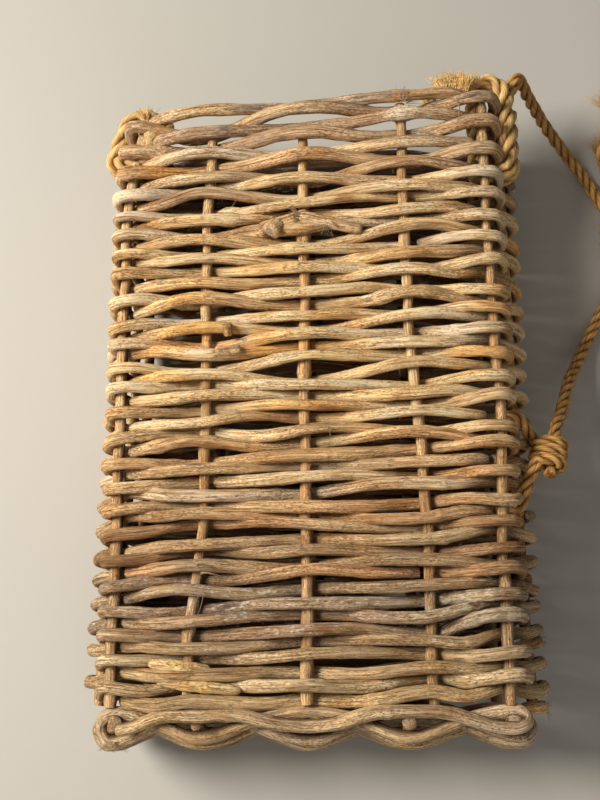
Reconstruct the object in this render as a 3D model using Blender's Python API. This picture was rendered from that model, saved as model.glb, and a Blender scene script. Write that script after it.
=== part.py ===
"""A woven wall basket of rattan rods, lying on its back, with a rope tied to its right side.

The basket is drawn standing up: x to the right, y towards its back, z up from its base.
One empty then lays it on its back, so that z points along +Y and the front faces up.
Sizes are in metres.
"""
import math

import bpy
import bmesh
import numpy as np
from mathutils import Quaternion, Vector

# Driving sizes of the basket
STAKE_SPREAD = 0.248
WALL_DEPTH = 0.090
SIDE_BULGE = 0.020
CORNER_SET_IN = 0.002
ROD_DIAMETER = 0.0076
STAKE_DIAMETER = 0.0068
BASE_STICK_DIAMETER = 0.0068
CLEARANCE = 0.0003
ROW_GAP = 0.00035
RIM_ROW_GAP = 0.0014
RIM_WAVE = 0.0015
CROSSING_LENGTH = 0.008
STAKE_TOP_SHORTFALL = 0.008
STAKE_TOP_BEVEL_ANGLE = math.radians(28)
SHARP_EDGE_ANGLE = math.radians(40)
CORNER_TURN_ANGLE = math.radians(50)
STICK_SET_BACK = 0.0025
ROD_END_SPACE = 0.003
BASE_TURN_SPACE = 0.0018

# Places of the stakes and the base sticks, as shares of the way from the middle to a corner
FRONT_STAKE_SHARES = (-1.0, -0.585, 0.0, 0.6, 1.0)
BACK_STAKE_SHARES = (1.0, 0.55, 0.0, -0.55, -1.0)
BASE_STICK_SHARES = (-1.0, -0.56, 0.0, 0.5, 1.0)
BASE_BOW_SHARE = 0.8
BOW_POINTS = 9
STAKE_SIDES = 10
STAKE_TAPER_SHARE = 0.92
ROD_SIDES = 5
SIX_SIDED = 1
EIGHT_SIDED = 2

# Counts of crossings, where one crossing is one stake passed by one rod
BODY_CROSSINGS = 268
RIM_CROSSINGS = 36
CROSSINGS_PER_ROD = 28
B_ROD_JOINTS = (0, 30, 60, 88, 112, 136, 164, 192, 218, 244, 268, 280, 292, 304)
B_ROD_BREAKS = (88, 136, 268)
A_ROD_BREAKS = (287,)
SIDE_HITCH_BREAKS = (136, 88)
RIGHT_HITCH_BREAK = 268
LEFT_HITCH_BREAK = 287
BETWEEN_STAKES = 0.5

# Driving sizes of the rope
ROPE_DIAMETER = 0.009
ROPE_SPACE = 0.0006
KNOT_SPACE = 0.0012
HITCH_BEND_RADIUS = 0.0055
HITCH_RISE = 0.010
HITCH_EXIT_RISE = 0.004
COLLAR_TURNS = 2.8
KNOT_TURNS = 3
POINTS_PER_TURN = 10
ARC_STEPS = 6
ROPE_POINT_SPACING = 0.016
CURVE_STEPS = 24
GAP_POINT_SPACING = 0.001
GAP_SKIP_DIAMETERS = 2

# The rope's route on the table, from the hitch at the rim to the hitch at the side
ROPE_ROUTE = (
    (0.1545, 0.2370, 0.0760),
    (0.1650, 0.2325, 0.0560),
    (0.1790, 0.2230, 0.0330),
    (0.1955, 0.2090, 0.0150),
    (0.2110, 0.1910, 0.0060),
    (0.2215, 0.1700, 0.0070),
    (0.2285, 0.1560, 0.0120),
    (0.2320, 0.1440, 0.0152),
    (0.2320, 0.1310, 0.0155),
    (0.2320, 0.1180, 0.0152),
    (0.2285, 0.1060, 0.0120),
    (0.2190, 0.0850, 0.0060),
    (0.2065, 0.0620, 0.0070),
    (0.1950, 0.0400, 0.0150),
    (0.1840, 0.0190, 0.0320),
    (0.1750, -0.0040, 0.0510),
)
KNOT_ROUTE_INDEX = 8
COLLAR_CENTRE = (0.1625, -0.0390, 0.0760)
COLLAR_AXIS = (-0.20, -0.90, 0.39)
TAIL_STEPS = (4, 7)
TAIL_ROUTES = (
    ((0.2395, 0.1640, 0.0070), (0.2345, 0.1780, 0.0052), (0.2300, 0.1920, 0.0052),
     (0.2270, 0.2060, 0.0052), (0.2250, 0.2190, 0.0052), (0.2240, 0.2270, 0.0052)),
    ((0.2445, 0.1720, 0.0160), (0.2490, 0.1860, 0.0090), (0.2490, 0.2040, 0.0058),
     (0.2450, 0.2220, 0.0052), (0.2390, 0.2400, 0.0052), (0.2320, 0.2560, 0.0052),
     (0.2290, 0.2640, 0.0052)),
)

# Sizes that follow from the driving sizes
ROD_RADIUS = ROD_DIAMETER / 2
STAKE_RADIUS = STAKE_DIAMETER / 2
STICK_RADIUS = BASE_STICK_DIAMETER / 2
ROPE_RADIUS = ROPE_DIAMETER / 2
HALF_CROSSING = CROSSING_LENGTH / 2
ROW_PITCH = ROD_DIAMETER + ROW_GAP
RIM_PITCH = ROD_DIAMETER + RIM_ROW_GAP
REACH = STAKE_RADIUS + ROD_RADIUS + CLEARANCE
BASE_REACH = STICK_RADIUS + ROD_RADIUS + CLEARANCE
BASE_TOP = BASE_REACH + ROD_RADIUS
FIRST_ROW = BASE_TOP + ROD_RADIUS + CLEARANCE
BASE_DEPTH = WALL_DEPTH + ROW_PITCH
STICK_REACH = BASE_DEPTH / 2 + ROD_RADIUS - STICK_SET_BACK
STAKES = len(FRONT_STAKE_SHARES) + len(BACK_STAKE_SHARES) + 2
HALF_TURN = STAKES // 2
RIGHT_SIDE_GAP = len(FRONT_STAKE_SHARES) - 1
LEFT_SIDE_GAP = STAKES - 1

# Colours as linear red, green and blue
COLOURS = {
    "stake": (0.20, 0.125, 0.065),
    "rod": (0.30, 0.205, 0.115),
    "rim": (0.24, 0.165, 0.105),
    "base": (0.22, 0.14, 0.075),
    "rope": (0.50, 0.31, 0.12),
}
ROUGHNESS = 0.8


def clear_scene():
    for item in list(bpy.data.objects):
        bpy.data.objects.remove(item, do_unlink=True)


def material(name):
    """A plain fibre material of the named colour, made once and shared."""
    found = bpy.data.materials.get(name)
    if found:
        return found
    made = bpy.data.materials.new(name)
    made.use_nodes = True
    shader = made.node_tree.nodes["Principled BSDF"]
    shader.inputs["Base Color"].default_value = (*COLOURS[name], 1.0)
    shader.inputs["Roughness"].default_value = ROUGHNESS
    shader.inputs["Metallic"].default_value = 0.0
    return made


def link(name, data, finish, parent):
    data.materials.append(material(finish))
    piece = bpy.data.objects.new(name, data)
    bpy.context.scene.collection.objects.link(piece)
    piece.parent = parent
    return piece


def poly_curve(name, points):
    """A 3D curve with one poly spline through the points."""
    curve = bpy.data.curves.new(name, "CURVE")
    curve.dimensions = "3D"
    curve.use_fill_caps = True
    spline = curve.splines.new("POLY")
    spline.points.add(len(points) - 1)
    for knot, point in zip(spline.points, points):
        knot.co = (*point, 1.0)
    return curve


def rod_section():
    """The five-sided section of a weaving rod, one flat side facing out of the basket."""
    curve = bpy.data.curves.new("rod_section", "CURVE")
    curve.dimensions = "2D"
    spline = curve.splines.new("POLY")
    spline.points.add(ROD_SIDES - 1)
    spline.use_cyclic_u = True
    for index, knot in enumerate(spline.points):
        angle = -math.pi * (2 * index + 1) / ROD_SIDES
        knot.co = (ROD_RADIUS * math.cos(angle), ROD_RADIUS * math.sin(angle), 0.0, 1.0)
    section = bpy.data.objects.new("rod_section", curve)
    bpy.context.scene.collection.objects.link(section)
    section.hide_render = True
    section.display_type = "WIRE"
    return section


def woven_rod(name, points, section, finish, parent, twist="Z_UP"):
    """One unbroken rod swept along the points, its section kept upright in the walls."""
    curve = poly_curve(name, points)
    curve.twist_mode = twist
    curve.bevel_mode = "OBJECT"
    curve.bevel_object = section
    return link(name, curve, finish, parent)


def round_rod(name, points, radius, finish, parent, resolution=SIX_SIDED):
    """One unbroken round rod or rope."""
    curve = poly_curve(name, points)
    curve.bevel_depth = radius
    curve.bevel_resolution = resolution
    return link(name, curve, finish, parent)


def stake_ring():
    """Each stake's place, the direction along the wall there and the direction out of it."""
    half, depth = STAKE_SPREAD / 2, WALL_DEPTH / 2

    def wall(shares, face):
        return [Vector((share * half, face * (depth - CORNER_SET_IN * (abs(share) == 1.0))))
                for share in shares]

    places = [*wall(FRONT_STAKE_SHARES, -1), Vector((half + SIDE_BULGE, 0.0)),
              *wall(BACK_STAKE_SHARES, 1), Vector((-half - SIDE_BULGE, 0.0))]
    ring = []
    for index, place in enumerate(places):
        before = place - places[index - 1]
        after = places[(index + 1) % len(places)] - place
        along = (before.normalized() + after.normalized()).normalized()
        ring.append({
            "place": place,
            "along": along,
            "out": Vector((along.y, -along.x)),
            "before": before.length,
            "after": after.length,
            "corner": before.angle(after) > CORNER_TURN_ANGLE,
        })
    return ring


def row_height(crossing):
    """The height of a rod after it has passed so many stakes of its climb."""
    body = min(crossing, BODY_CROSSINGS)
    rim = max(crossing - BODY_CROSSINGS, 0)
    return FIRST_ROW + 2 * (ROW_PITCH * body + RIM_PITCH * rim) / STAKES


def single_reach(stake):
    """How far out one lone point has to lie for the rod to clear the stake it bends round."""
    run = min(stake["before"], stake["after"]) - HALF_CROSSING
    return REACH * math.hypot(1.0, 2 * REACH / run)


def weaving_path(ring, first, last, lag, outside_rest, open_start):
    """A rod's route past the stakes from the first crossing to the last.

    It goes in front of every second stake, and it starts and ends tucked in behind one.
    After an open start it begins in front of the next stake instead, and so it leaves
    room in the wall for the rope.
    """
    points = []
    for crossing in range(first + (1 if open_start else 0), last + 1):
        stake = ring[crossing % STAKES]
        outside = crossing % 2 == outside_rest
        side = 1.0 if outside else -1.0
        wave = side * RIM_WAVE if crossing - lag > BODY_CROSSINGS + 1 else 0.0

        def spot(shift, reach):
            share = shift / (stake["after"] if shift > 0 else stake["before"])
            flat = stake["place"] + stake["out"] * side * reach + stake["along"] * shift
            return Vector((flat.x, flat.y, row_height(crossing - lag + share) + wave))

        if crossing == first:
            points.append(spot(ROD_END_SPACE, REACH))
        elif crossing == last:
            points.append(spot(-ROD_END_SPACE, REACH))
        elif outside or stake["corner"]:
            points += [spot(-HALF_CROSSING, REACH), spot(HALF_CROSSING, REACH)]
        else:
            points.append(spot(0.0, single_reach(stake)))
    return points


def weave_walls(ring, section, parent):
    """Two sets of rods chase each other up the walls, half a turn apart."""
    a_start = HALF_TURN + 1
    a_joints = list(range(a_start, a_start + BODY_CROSSINGS, CROSSINGS_PER_ROD))
    a_joints += [a_start + BODY_CROSSINGS + STAKES * turn
                 for turn in range(RIM_CROSSINGS // STAKES + 1)]
    sets = (("a", a_joints, HALF_TURN, 0, A_ROD_BREAKS, a_start + BODY_CROSSINGS),
            ("b", B_ROD_JOINTS, 0, 1, B_ROD_BREAKS, BODY_CROSSINGS))
    pieces = []
    for letter, joints, lag, rest, breaks, rim_start in sets:
        rim_count = 0
        for count, (first, last) in enumerate(zip(joints, joints[1:]), start=1):
            in_rim = first >= rim_start
            rim_count += in_rim
            name = f"rim_rod_{letter}{rim_count}" if in_rim else f"weaving_rod_{letter}{count:02d}"
            route = weaving_path(ring, first, last, lag, rest, first in breaks)
            pieces.append(woven_rod(name, route, section, "rim" if in_rim else "rod", parent))
    return pieces


def stake_solid(name, place, foot, top, parent):
    """A tapered stake with a square butt and a top that was cut at a slant."""
    mesh = bpy.data.meshes.new(name)
    shape = bmesh.new()
    bmesh.ops.create_cone(shape, cap_ends=True, segments=STAKE_SIDES, radius1=STAKE_RADIUS,
                          radius2=STAKE_RADIUS * STAKE_TAPER_SHARE, depth=top - foot)
    bmesh.ops.translate(shape, verts=shape.verts,
                        vec=(place.x, place.y, (top + foot) / 2))
    slant = Vector((0.0, -math.sin(STAKE_TOP_BEVEL_ANGLE), math.cos(STAKE_TOP_BEVEL_ANGLE)))
    cut = Vector((place.x, place.y, top - STAKE_RADIUS))
    everything = shape.verts[:] + shape.edges[:] + shape.faces[:]
    bmesh.ops.bisect_plane(shape, geom=everything, plane_co=cut, plane_no=slant,
                           clear_outer=True)
    rim = [edge for edge in shape.edges if edge.is_boundary]
    bmesh.ops.contextual_create(shape, geom=rim)
    bmesh.ops.recalc_face_normals(shape, faces=shape.faces[:])
    shape.to_mesh(mesh)
    shape.free()
    mesh.shade_smooth()
    mesh.set_sharp_from_angle(angle=SHARP_EDGE_ANGLE)
    return link(name, mesh, "stake", parent)


def stand_stakes(ring, parent):
    """Twelve upright stakes, each with its butt on the base weave."""
    top = row_height(BODY_CROSSINGS + RIM_CROSSINGS) - STAKE_TOP_SHORTFALL
    names = [f"front_stake_{n}" for n in range(1, len(FRONT_STAKE_SHARES) + 1)]
    names.append("right_side_stake")
    names += [f"back_stake_{n}" for n in range(1, len(BACK_STAKE_SHARES) + 1)]
    names.append("left_side_stake")
    return [stake_solid(name, stake["place"], BASE_TOP + CLEARANCE, top, parent)
            for name, stake in zip(names, ring)]


def stick_place(share, depth):
    """Where a base stick lies at some depth: the two end sticks bow out to the sides."""
    half = STAKE_SPREAD / 2
    bow = 0.0
    if abs(share) == 1.0:
        bow = share * SIDE_BULGE * BASE_BOW_SHARE * (1 - (depth / STICK_REACH) ** 2)
    return share * half + bow


def lay_base_sticks(parent):
    """Five sticks from front to back that carry the base weave, their cut ends showing."""
    pieces = []
    for index, share in enumerate(BASE_STICK_SHARES, start=1):
        depths = [STICK_REACH * (2 * step / (BOW_POINTS - 1) - 1) for step in range(BOW_POINTS)]
        points = [Vector((stick_place(share, depth), depth, 0.0)) for depth in depths]
        if abs(share) != 1.0:
            points = [points[0], points[-1]]
        pieces.append(round_rod(f"base_stick_{index}", points, STICK_RADIUS, "base", parent,
                                resolution=EIGHT_SIDED))
    return pieces


def weave_base(section, parent):
    """One rod goes to and fro across the five sticks and turns round the end ones."""
    steps = int(BASE_DEPTH / ROW_PITCH)
    turn_reach = BASE_REACH + BASE_TURN_SPACE
    points = []
    for row in range(steps + 1):
        depth = BASE_DEPTH * row / steps - BASE_DEPTH / 2
        forward = row % 2 == 0
        order = list(enumerate(BASE_STICK_SHARES))
        if not forward:
            order.reverse()
        heading = 1.0 if forward else -1.0
        for index, share in order:
            height = -BASE_REACH if (index + row) % 2 == 0 else BASE_REACH
            middle = stick_place(share, depth)
            points.append(Vector((middle - heading * HALF_CROSSING, depth, height)))
            points.append(Vector((middle + heading * HALF_CROSSING, depth, height)))
            if index == order[-1][0] and row < steps:
                half_way = depth + BASE_DEPTH / steps / 2
                bend = stick_place(share, half_way) + heading * turn_reach
                points.append(Vector((bend, half_way, 0.0)))
    return woven_rod("base_weaving_rod", points, section, "base", parent, twist="MINIMUM")


def smooth_route(points, spacing):
    """The end points, and between them points at an even spacing on a smooth curve."""
    fine = []
    for before, start, end, after in zip(points, points[1:], points[2:], points[3:]):
        for step in range(CURVE_STEPS):
            t = step / CURVE_STEPS
            fine.append(((2 * start) + (end - before) * t
                         + (2 * before - 5 * start + 4 * end - after) * t * t
                         + (3 * start - before - 3 * end + after) * t ** 3) / 2)
    fine.append(points[-2].copy())
    lengths = [0.0]
    for start, end in zip(fine, fine[1:]):
        lengths.append(lengths[-1] + (end - start).length)
    count = max(2, round(lengths[-1] / spacing))
    even, cursor = [], 0
    for index in range(count + 1):
        target = lengths[-1] * index / count
        while cursor < len(lengths) - 2 and lengths[cursor + 1] < target:
            cursor += 1
        span = lengths[cursor + 1] - lengths[cursor]
        even.append(fine[cursor].lerp(fine[cursor + 1], (target - lengths[cursor]) / span))
    return [points[0], *even, points[-1]]


def route_length(points):
    return sum((end - start).length for start, end in zip(points, points[1:]))


def print_least_gap(name, points, diameter):
    """Measures how near a winding comes to itself, past the stretch beside each point."""
    fine = []
    for start, end in zip(points, points[1:]):
        count = max(1, math.ceil((end - start).length / GAP_POINT_SPACING))
        fine += [start.lerp(end, step / count) for step in range(count)]
    places = np.array(fine)
    steps = np.linalg.norm(np.diff(places, axis=0), axis=1)
    along = np.concatenate(([0.0], np.cumsum(steps)))
    apart = np.linalg.norm(places[:, None] - places[None, :], axis=2)
    far = np.abs(along[:, None] - along[None, :]) > GAP_SKIP_DIAMETERS * diameter
    print(name, "least gap to itself in mm", round((apart[far].min() - diameter) * 1000, 2))


def gap_in_wall(break_crossing, lag):
    """The middle height and the free height of the room that a missing rod leaves."""
    middle = break_crossing + BETWEEN_STAKES - lag
    low, high = row_height(middle - HALF_TURN), row_height(middle + HALF_TURN)
    return (low + high) / 2, high - low - ROD_DIAMETER


def strand_radius(free_height):
    """The rope's own radius, or less where the rods squeeze it."""
    return min(ROPE_RADIUS, free_height / 2 - CLEARANCE)


def wall_frame(ring, gap_index):
    """The middle of the wall between two stakes, with its directions along and out."""
    start, end = ring[gap_index]["place"], ring[(gap_index + 1) % STAKES]["place"]
    along = (end - start).normalized()
    return (start + end) / 2, along, Vector((along.y, -along.x)), (end - start).length


def strand_room(radius, side_step, gap_length):
    """How far from the wall's middle a strand lies when it clears the rods beside it.

    It also gives the height by which that leaves a round crown over the topmost rod.
    """
    slope = 2 * REACH / (gap_length - CROSSING_LENGTH)
    clear = radius + ROD_RADIUS + ROPE_SPACE
    drift = side_step * slope
    offset = clear * math.hypot(1.0, slope) + drift
    return offset, math.sqrt((offset - clear) ** 2 - drift ** 2)


def wall_point(frame, offset, height, side):
    middle, along, out, _ = frame
    flat = middle + out * offset + along * side
    return Vector((flat.x, flat.y, height))


def rim_hitch(name, ring, gap_index, wall_break, lag, top_crossing, parent, exit_rise):
    """Two turns of rope over the rim and through the wall, with the last end going up."""
    frame = wall_frame(ring, gap_index)
    level, free = gap_in_wall(wall_break, lag)
    radius = strand_radius(free)
    side = radius + CLEARANCE
    offset, room = strand_room(radius, side, frame[3])
    sag = offset * (1 - math.cos(math.pi / ARC_STEPS / 2))
    tilt = 2 * (RIM_WAVE + RIM_PITCH / STAKES) * side / (frame[3] - CROSSING_LENGTH)
    crown = row_height(top_crossing) - room + sag + tilt
    bend = HITCH_BEND_RADIUS
    diagonal = bend * (1 - math.cos(math.pi / 4))

    def through(at):
        return [wall_point(frame, *spot, at) for spot in (
            (-offset, level + bend), (-offset + diagonal, level + diagonal),
            (-offset + bend, level), (offset - bend, level),
            (offset - diagonal, level + diagonal), (offset, level + bend))]

    points = [wall_point(frame, -offset, level + HITCH_RISE, -side)]
    points += through(-side)
    points.append(wall_point(frame, offset, crown, -side))
    for step in range(1, ARC_STEPS):
        angle = math.pi * step / ARC_STEPS
        points.append(wall_point(frame, offset * math.cos(angle),
                                 crown + offset * math.sin(angle),
                                 side * -math.cos(max(2 * angle - math.pi, 0.0))))
    points.append(wall_point(frame, -offset, crown, side))
    points += through(side)
    points.append(wall_point(frame, offset, crown + exit_rise, side))
    print_least_gap(name, points, 2 * radius)
    return round_rod(name, points, radius, "rope", parent), points[-1], points[-1] - points[-2]


def turns_round(centre, axis, start, radius, pitch, turns):
    """Points of a winding round an axis, from a start direction, one pitch a turn."""
    axis = axis.normalized()
    first = (start - axis * start.dot(axis)).normalized()
    second = axis.cross(first)
    steps = round(turns * POINTS_PER_TURN)
    points = []
    for step in range(steps + 1):
        angle = 2 * math.pi * step / POINTS_PER_TURN
        rise = pitch * (step / POINTS_PER_TURN - turns / 2)
        points.append(centre + axis * rise
                      + (first * math.cos(angle) + second * math.sin(angle)) * radius)
    return points


def side_hitch(ring, parent, to_local):
    """The collar that holds the rope's lower end, with both ends tucked into the wall."""
    frame = wall_frame(ring, RIGHT_SIDE_GAP)
    high, free = gap_in_wall(SIDE_HITCH_BREAKS[0], 0)
    low, _ = gap_in_wall(SIDE_HITCH_BREAKS[1], 0)
    radius = strand_radius(free)
    offset, _ = strand_room(radius, 0.0, frame[3])
    bend = HITCH_BEND_RADIUS
    diagonal = bend * (1 - math.cos(math.pi / 4))
    centre = to_local @ Vector(COLLAR_CENTRE)
    axis = (to_local.to_3x3() @ Vector(COLLAR_AXIS)).normalized()
    reach, pitch = ROPE_RADIUS + radius + CLEARANCE, 2 * radius + ROPE_SPACE
    from_hole = wall_point(frame, offset, high, 0.0) - centre + axis * pitch * COLLAR_TURNS / 2
    from_hole -= axis * from_hole.dot(axis)
    tangent_start = Quaternion(axis, math.acos(reach / from_hole.length)) @ from_hole
    collar = turns_round(centre, axis, tangent_start, reach, pitch, COLLAR_TURNS)
    inner = [wall_point(frame, *spot, 0.0) for spot in (
        (-offset, high - HITCH_RISE / 2), (-offset, high - bend),
        (-offset + diagonal, high - diagonal), (-offset + bend, high),
        (offset, high))]
    outer = [wall_point(frame, *spot, 0.0) for spot in (
        (offset, low + bend), (offset - diagonal, low + diagonal), (offset - bend, low),
        (-offset + bend, low), (-offset + diagonal, low + diagonal), (-offset, low + bend),
        (-offset, low + HITCH_RISE / 2))]
    points = inner + collar + outer
    print_least_gap("side_hitch", points, 2 * radius)
    return round_rod("side_hitch", points, radius, "rope", parent)


def lay_rope(parent, exit_point, exit_direction, to_local):
    """The rope's free stretch, from the rim hitch over the table to the side hitch."""
    heading = exit_direction.normalized()
    start = exit_point + heading * CLEARANCE
    collar = to_local @ Vector(COLLAR_CENTRE)
    axis = (to_local.to_3x3() @ Vector(COLLAR_AXIS)).normalized()
    route = [start, start + heading * ROPE_DIAMETER]
    route += [to_local @ Vector(point) for point in ROPE_ROUTE]
    route += [collar - axis * ROPE_DIAMETER * 2, collar, collar + axis * ROPE_DIAMETER * 2]
    points = smooth_route(route, ROPE_POINT_SPACING)
    print("rope length", round(route_length(points), 4))
    return round_rod("rope", points, ROPE_RADIUS, "rope", parent, EIGHT_SIDED)


def tie_knot(parent, to_local):
    """The knot that joins the rope, drawn as a winding round it, and its two tails."""
    around = [Vector(ROPE_ROUTE[KNOT_ROUTE_INDEX + step]) for step in (-1, 0, 1)]
    axis = (around[2] - around[0]).normalized()
    radius = ROPE_DIAMETER + KNOT_SPACE
    winding = turns_round(around[1], axis, Vector((-1.0, 0.0, 0.0)), radius,
                          ROPE_DIAMETER + ROPE_SPACE, KNOT_TURNS)
    print_least_gap("rope_knot", winding, ROPE_DIAMETER)
    round_rod("rope_knot", [to_local @ point for point in winding], ROPE_RADIUS, "rope",
              parent)
    for index, (step, route) in enumerate(zip(TAIL_STEPS, TAIL_ROUTES), start=1):
        tangent = (winding[step + 1] - winding[step - 1]).normalized()
        heading = (tangent * axis.dot(tangent) - axis).normalized()
        seat = winding[step] + heading * (ROPE_RADIUS + ROPE_SPACE)
        route = [seat, seat + heading * ROPE_DIAMETER, *[Vector(point) for point in route]]
        points = smooth_route([to_local @ point for point in route], ROPE_POINT_SPACING)
        round_rod(f"rope_tail_{index}", points, ROPE_RADIUS, "rope", parent)


def world_bounds(pieces):
    """The lowest and highest corner of the finished pieces, as they are drawn."""
    graph = bpy.context.evaluated_depsgraph_get()
    graph.update()
    corners = []
    for piece in pieces:
        drawn = piece.evaluated_get(graph)
        mesh = drawn.to_mesh()
        corners += [drawn.matrix_world @ vertex.co for vertex in mesh.vertices]
        drawn.to_mesh_clear()
    low = Vector(min(corner[axis] for corner in corners) for axis in range(3))
    high = Vector(max(corner[axis] for corner in corners) for axis in range(3))
    return low, high


def build():
    clear_scene()
    lying = bpy.data.objects.new("lying_on_its_back", None)
    bpy.context.scene.collection.objects.link(lying)
    lying.rotation_euler = (-math.pi / 2, 0.0, 0.0)
    section = rod_section()
    ring = stake_ring()

    basket = weave_walls(ring, section, lying)
    basket += stand_stakes(ring, lying)
    basket += lay_base_sticks(lying)
    basket.append(weave_base(section, lying))
    left, _, _ = rim_hitch("left_rim_hitch", ring, LEFT_SIDE_GAP, LEFT_HITCH_BREAK, HALF_TURN,
                           LEFT_HITCH_BREAK + STAKES + BETWEEN_STAKES, lying, 0.0)
    basket.append(left)

    low, high = world_bounds(basket)
    lying.location = (-(low.x + high.x) / 2, -(low.y + high.y) / 2, -low.z)
    bpy.context.view_layer.update()
    to_local = lying.matrix_world.inverted()

    top = RIGHT_HITCH_BREAK + 3 * STAKES + BETWEEN_STAKES - HALF_TURN
    _, end, heading = rim_hitch("right_rim_hitch", ring, RIGHT_SIDE_GAP, RIGHT_HITCH_BREAK, 0,
                                top, lying, HITCH_EXIT_RISE)
    side_hitch(ring, lying, to_local)
    lay_rope(lying, end, heading, to_local)
    tie_knot(lying, to_local)


build()
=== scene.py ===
"""The woven wall basket in its photographed finish, lying on its back under soft light.

The basket is worked out standing up, as its solids are: x to the right, y towards its back and
z up from its base. in_row lays those points on their back, into the frame. Sizes are in metres.
"""
import math

import bpy
import bmesh
import numpy as np
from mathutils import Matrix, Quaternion, Vector


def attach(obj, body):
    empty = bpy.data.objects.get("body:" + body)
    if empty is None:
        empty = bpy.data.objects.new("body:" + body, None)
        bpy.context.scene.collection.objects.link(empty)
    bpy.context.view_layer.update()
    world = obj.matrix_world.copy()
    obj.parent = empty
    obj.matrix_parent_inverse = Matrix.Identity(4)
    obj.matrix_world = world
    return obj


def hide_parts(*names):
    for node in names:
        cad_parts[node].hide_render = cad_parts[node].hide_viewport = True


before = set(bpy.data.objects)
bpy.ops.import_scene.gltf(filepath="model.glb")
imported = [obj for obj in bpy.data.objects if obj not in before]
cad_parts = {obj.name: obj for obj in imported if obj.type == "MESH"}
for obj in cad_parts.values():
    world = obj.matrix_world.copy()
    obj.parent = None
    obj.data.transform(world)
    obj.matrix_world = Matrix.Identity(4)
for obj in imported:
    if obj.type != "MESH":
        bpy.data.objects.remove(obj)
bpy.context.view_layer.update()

# The basket's sizes, as its solids have them
STAKE_SPREAD = 0.248
WALL_DEPTH = 0.09
SIDE_BULGE = 0.02
CORNER_SET_IN = 0.002
ROD_RADIUS = 0.0038
STAKE_RADIUS = 0.0034
STICK_RADIUS = 0.0034
CLEARANCE = 0.0003
ROW_PITCH = 0.00795
RIM_PITCH = 0.009
RIM_WAVE = 0.0015
STAKE_TOP_SHORTFALL = 0.008
STICK_SET_BACK = 0.0025
ROD_END_SPACE = 0.003
CROSSING_LENGTH = 0.008
FRONT_STAKE_SHARES = (-1.0, -0.585, 0.0, 0.6, 1.0)
BACK_STAKE_SHARES = (1.0, 0.55, 0.0, -0.55, -1.0)
BASE_STICK_SHARES = (-1.0, -0.56, 0.0, 0.5, 1.0)
BODY_CROSSINGS = 268
CROSSINGS_PER_ROD = 28
B_ROD_JOINTS = (0, 30, 60, 88, 112, 136, 164, 192, 218, 244, 268, 280, 292, 304)
B_ROD_BREAKS = (88, 136, 268)
A_ROD_BREAKS = (287,)
STAKES = 12
HALF_TURN = 6
RIM_TURNS = 3
LAST_CROSSING = 304
REACH = STAKE_RADIUS + ROD_RADIUS + CLEARANCE
BASE_REACH = STICK_RADIUS + ROD_RADIUS + CLEARANCE
BASE_TOP = BASE_REACH + ROD_RADIUS
FIRST_ROW = BASE_TOP + ROD_RADIUS + CLEARANCE
BASE_DEPTH = WALL_DEPTH + ROW_PITCH
STICK_REACH = BASE_DEPTH / 2 + ROD_RADIUS - STICK_SET_BACK
LYING = Vector((-0.000077, -0.210541, 0.055638))

# The rope's sizes and its route, as its solids have them
ROPE_RADIUS = 0.0045
ROPE_SPACE = 0.0006
KNOT_SPACE = 0.0012
HITCH_BEND_RADIUS = 0.0055
HITCH_RISE = 0.01
HITCH_EXIT_RISE = 0.004
COLLAR_TURNS = 2.8
KNOT_TURNS = 3
POINTS_PER_TURN = 10
ARC_STEPS = 6
SIDE_HITCH_BREAKS = (136, 88)
RIGHT_HITCH_BREAK = 268
LEFT_HITCH_BREAK = 287
RIGHT_GAP = 4
LEFT_GAP = 11
BETWEEN_STAKES = 0.5
ROPE_ROUTE = (
    (0.1545, 0.2370, 0.0760), (0.1650, 0.2325, 0.0560), (0.1790, 0.2230, 0.0330),
    (0.1955, 0.2090, 0.0150), (0.2110, 0.1910, 0.0060), (0.2215, 0.1700, 0.0070),
    (0.2285, 0.1560, 0.0120), (0.2320, 0.1440, 0.0152), (0.2320, 0.1310, 0.0155),
    (0.2320, 0.1180, 0.0152), (0.2285, 0.1060, 0.0120), (0.2190, 0.0850, 0.0060),
    (0.2065, 0.0620, 0.0070), (0.1950, 0.0400, 0.0150), (0.1840, 0.0190, 0.0320),
    (0.1750, -0.0040, 0.0510),
)
KNOT_ROUTE_INDEX = 8
COLLAR_CENTRE = (0.1625, -0.039, 0.076)
COLLAR_AXIS = (-0.2, -0.9, 0.39)
TAIL_STEPS = (4, 7)
TAIL_ROUTES = (
    ((0.2395, 0.1640, 0.0070), (0.2345, 0.1780, 0.0052), (0.2300, 0.1920, 0.0052),
     (0.2270, 0.2060, 0.0052), (0.2250, 0.2190, 0.0052), (0.2240, 0.2270, 0.0052)),
    ((0.2445, 0.1720, 0.0160), (0.2490, 0.1860, 0.0090), (0.2490, 0.2040, 0.0058),
     (0.2450, 0.2220, 0.0052), (0.2390, 0.2400, 0.0052), (0.2320, 0.2560, 0.0052),
     (0.2290, 0.2640, 0.0052)),
)

# How the old basket has settled: how far its sides lean in at shares of its height
LEFT_LEAN = ((0.0, 0.1, 0.5, 0.85, 1.0), (0.003, 0.005, 0.0115, 0.015, 0.016))
RIGHT_LEAN = ((0.0, 0.15, 1.0), (0.0, 0.0035, 0.0035))
LEFT_CORNER_LEAN = ((0.84, 0.93, 1.0), (0.0, 0.003, 0.01))
LEAN_START = 0.1
LEAN_FADE = 0.026
# How far the rods that turn round the left corner are drawn in, over their reach past its stake
CORNER_DRAW = 0.0038
CORNER_DRAW_REACH = 0.009
# How the left of the rim sags
RIM_SAG = 0.008
RIM_SAG_SHARE = 0.72
SAG_START = 0.02
SAG_WIDTH = 0.124
SAG_MOST = 1.1
SAG_CURVE = 1.5
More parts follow.
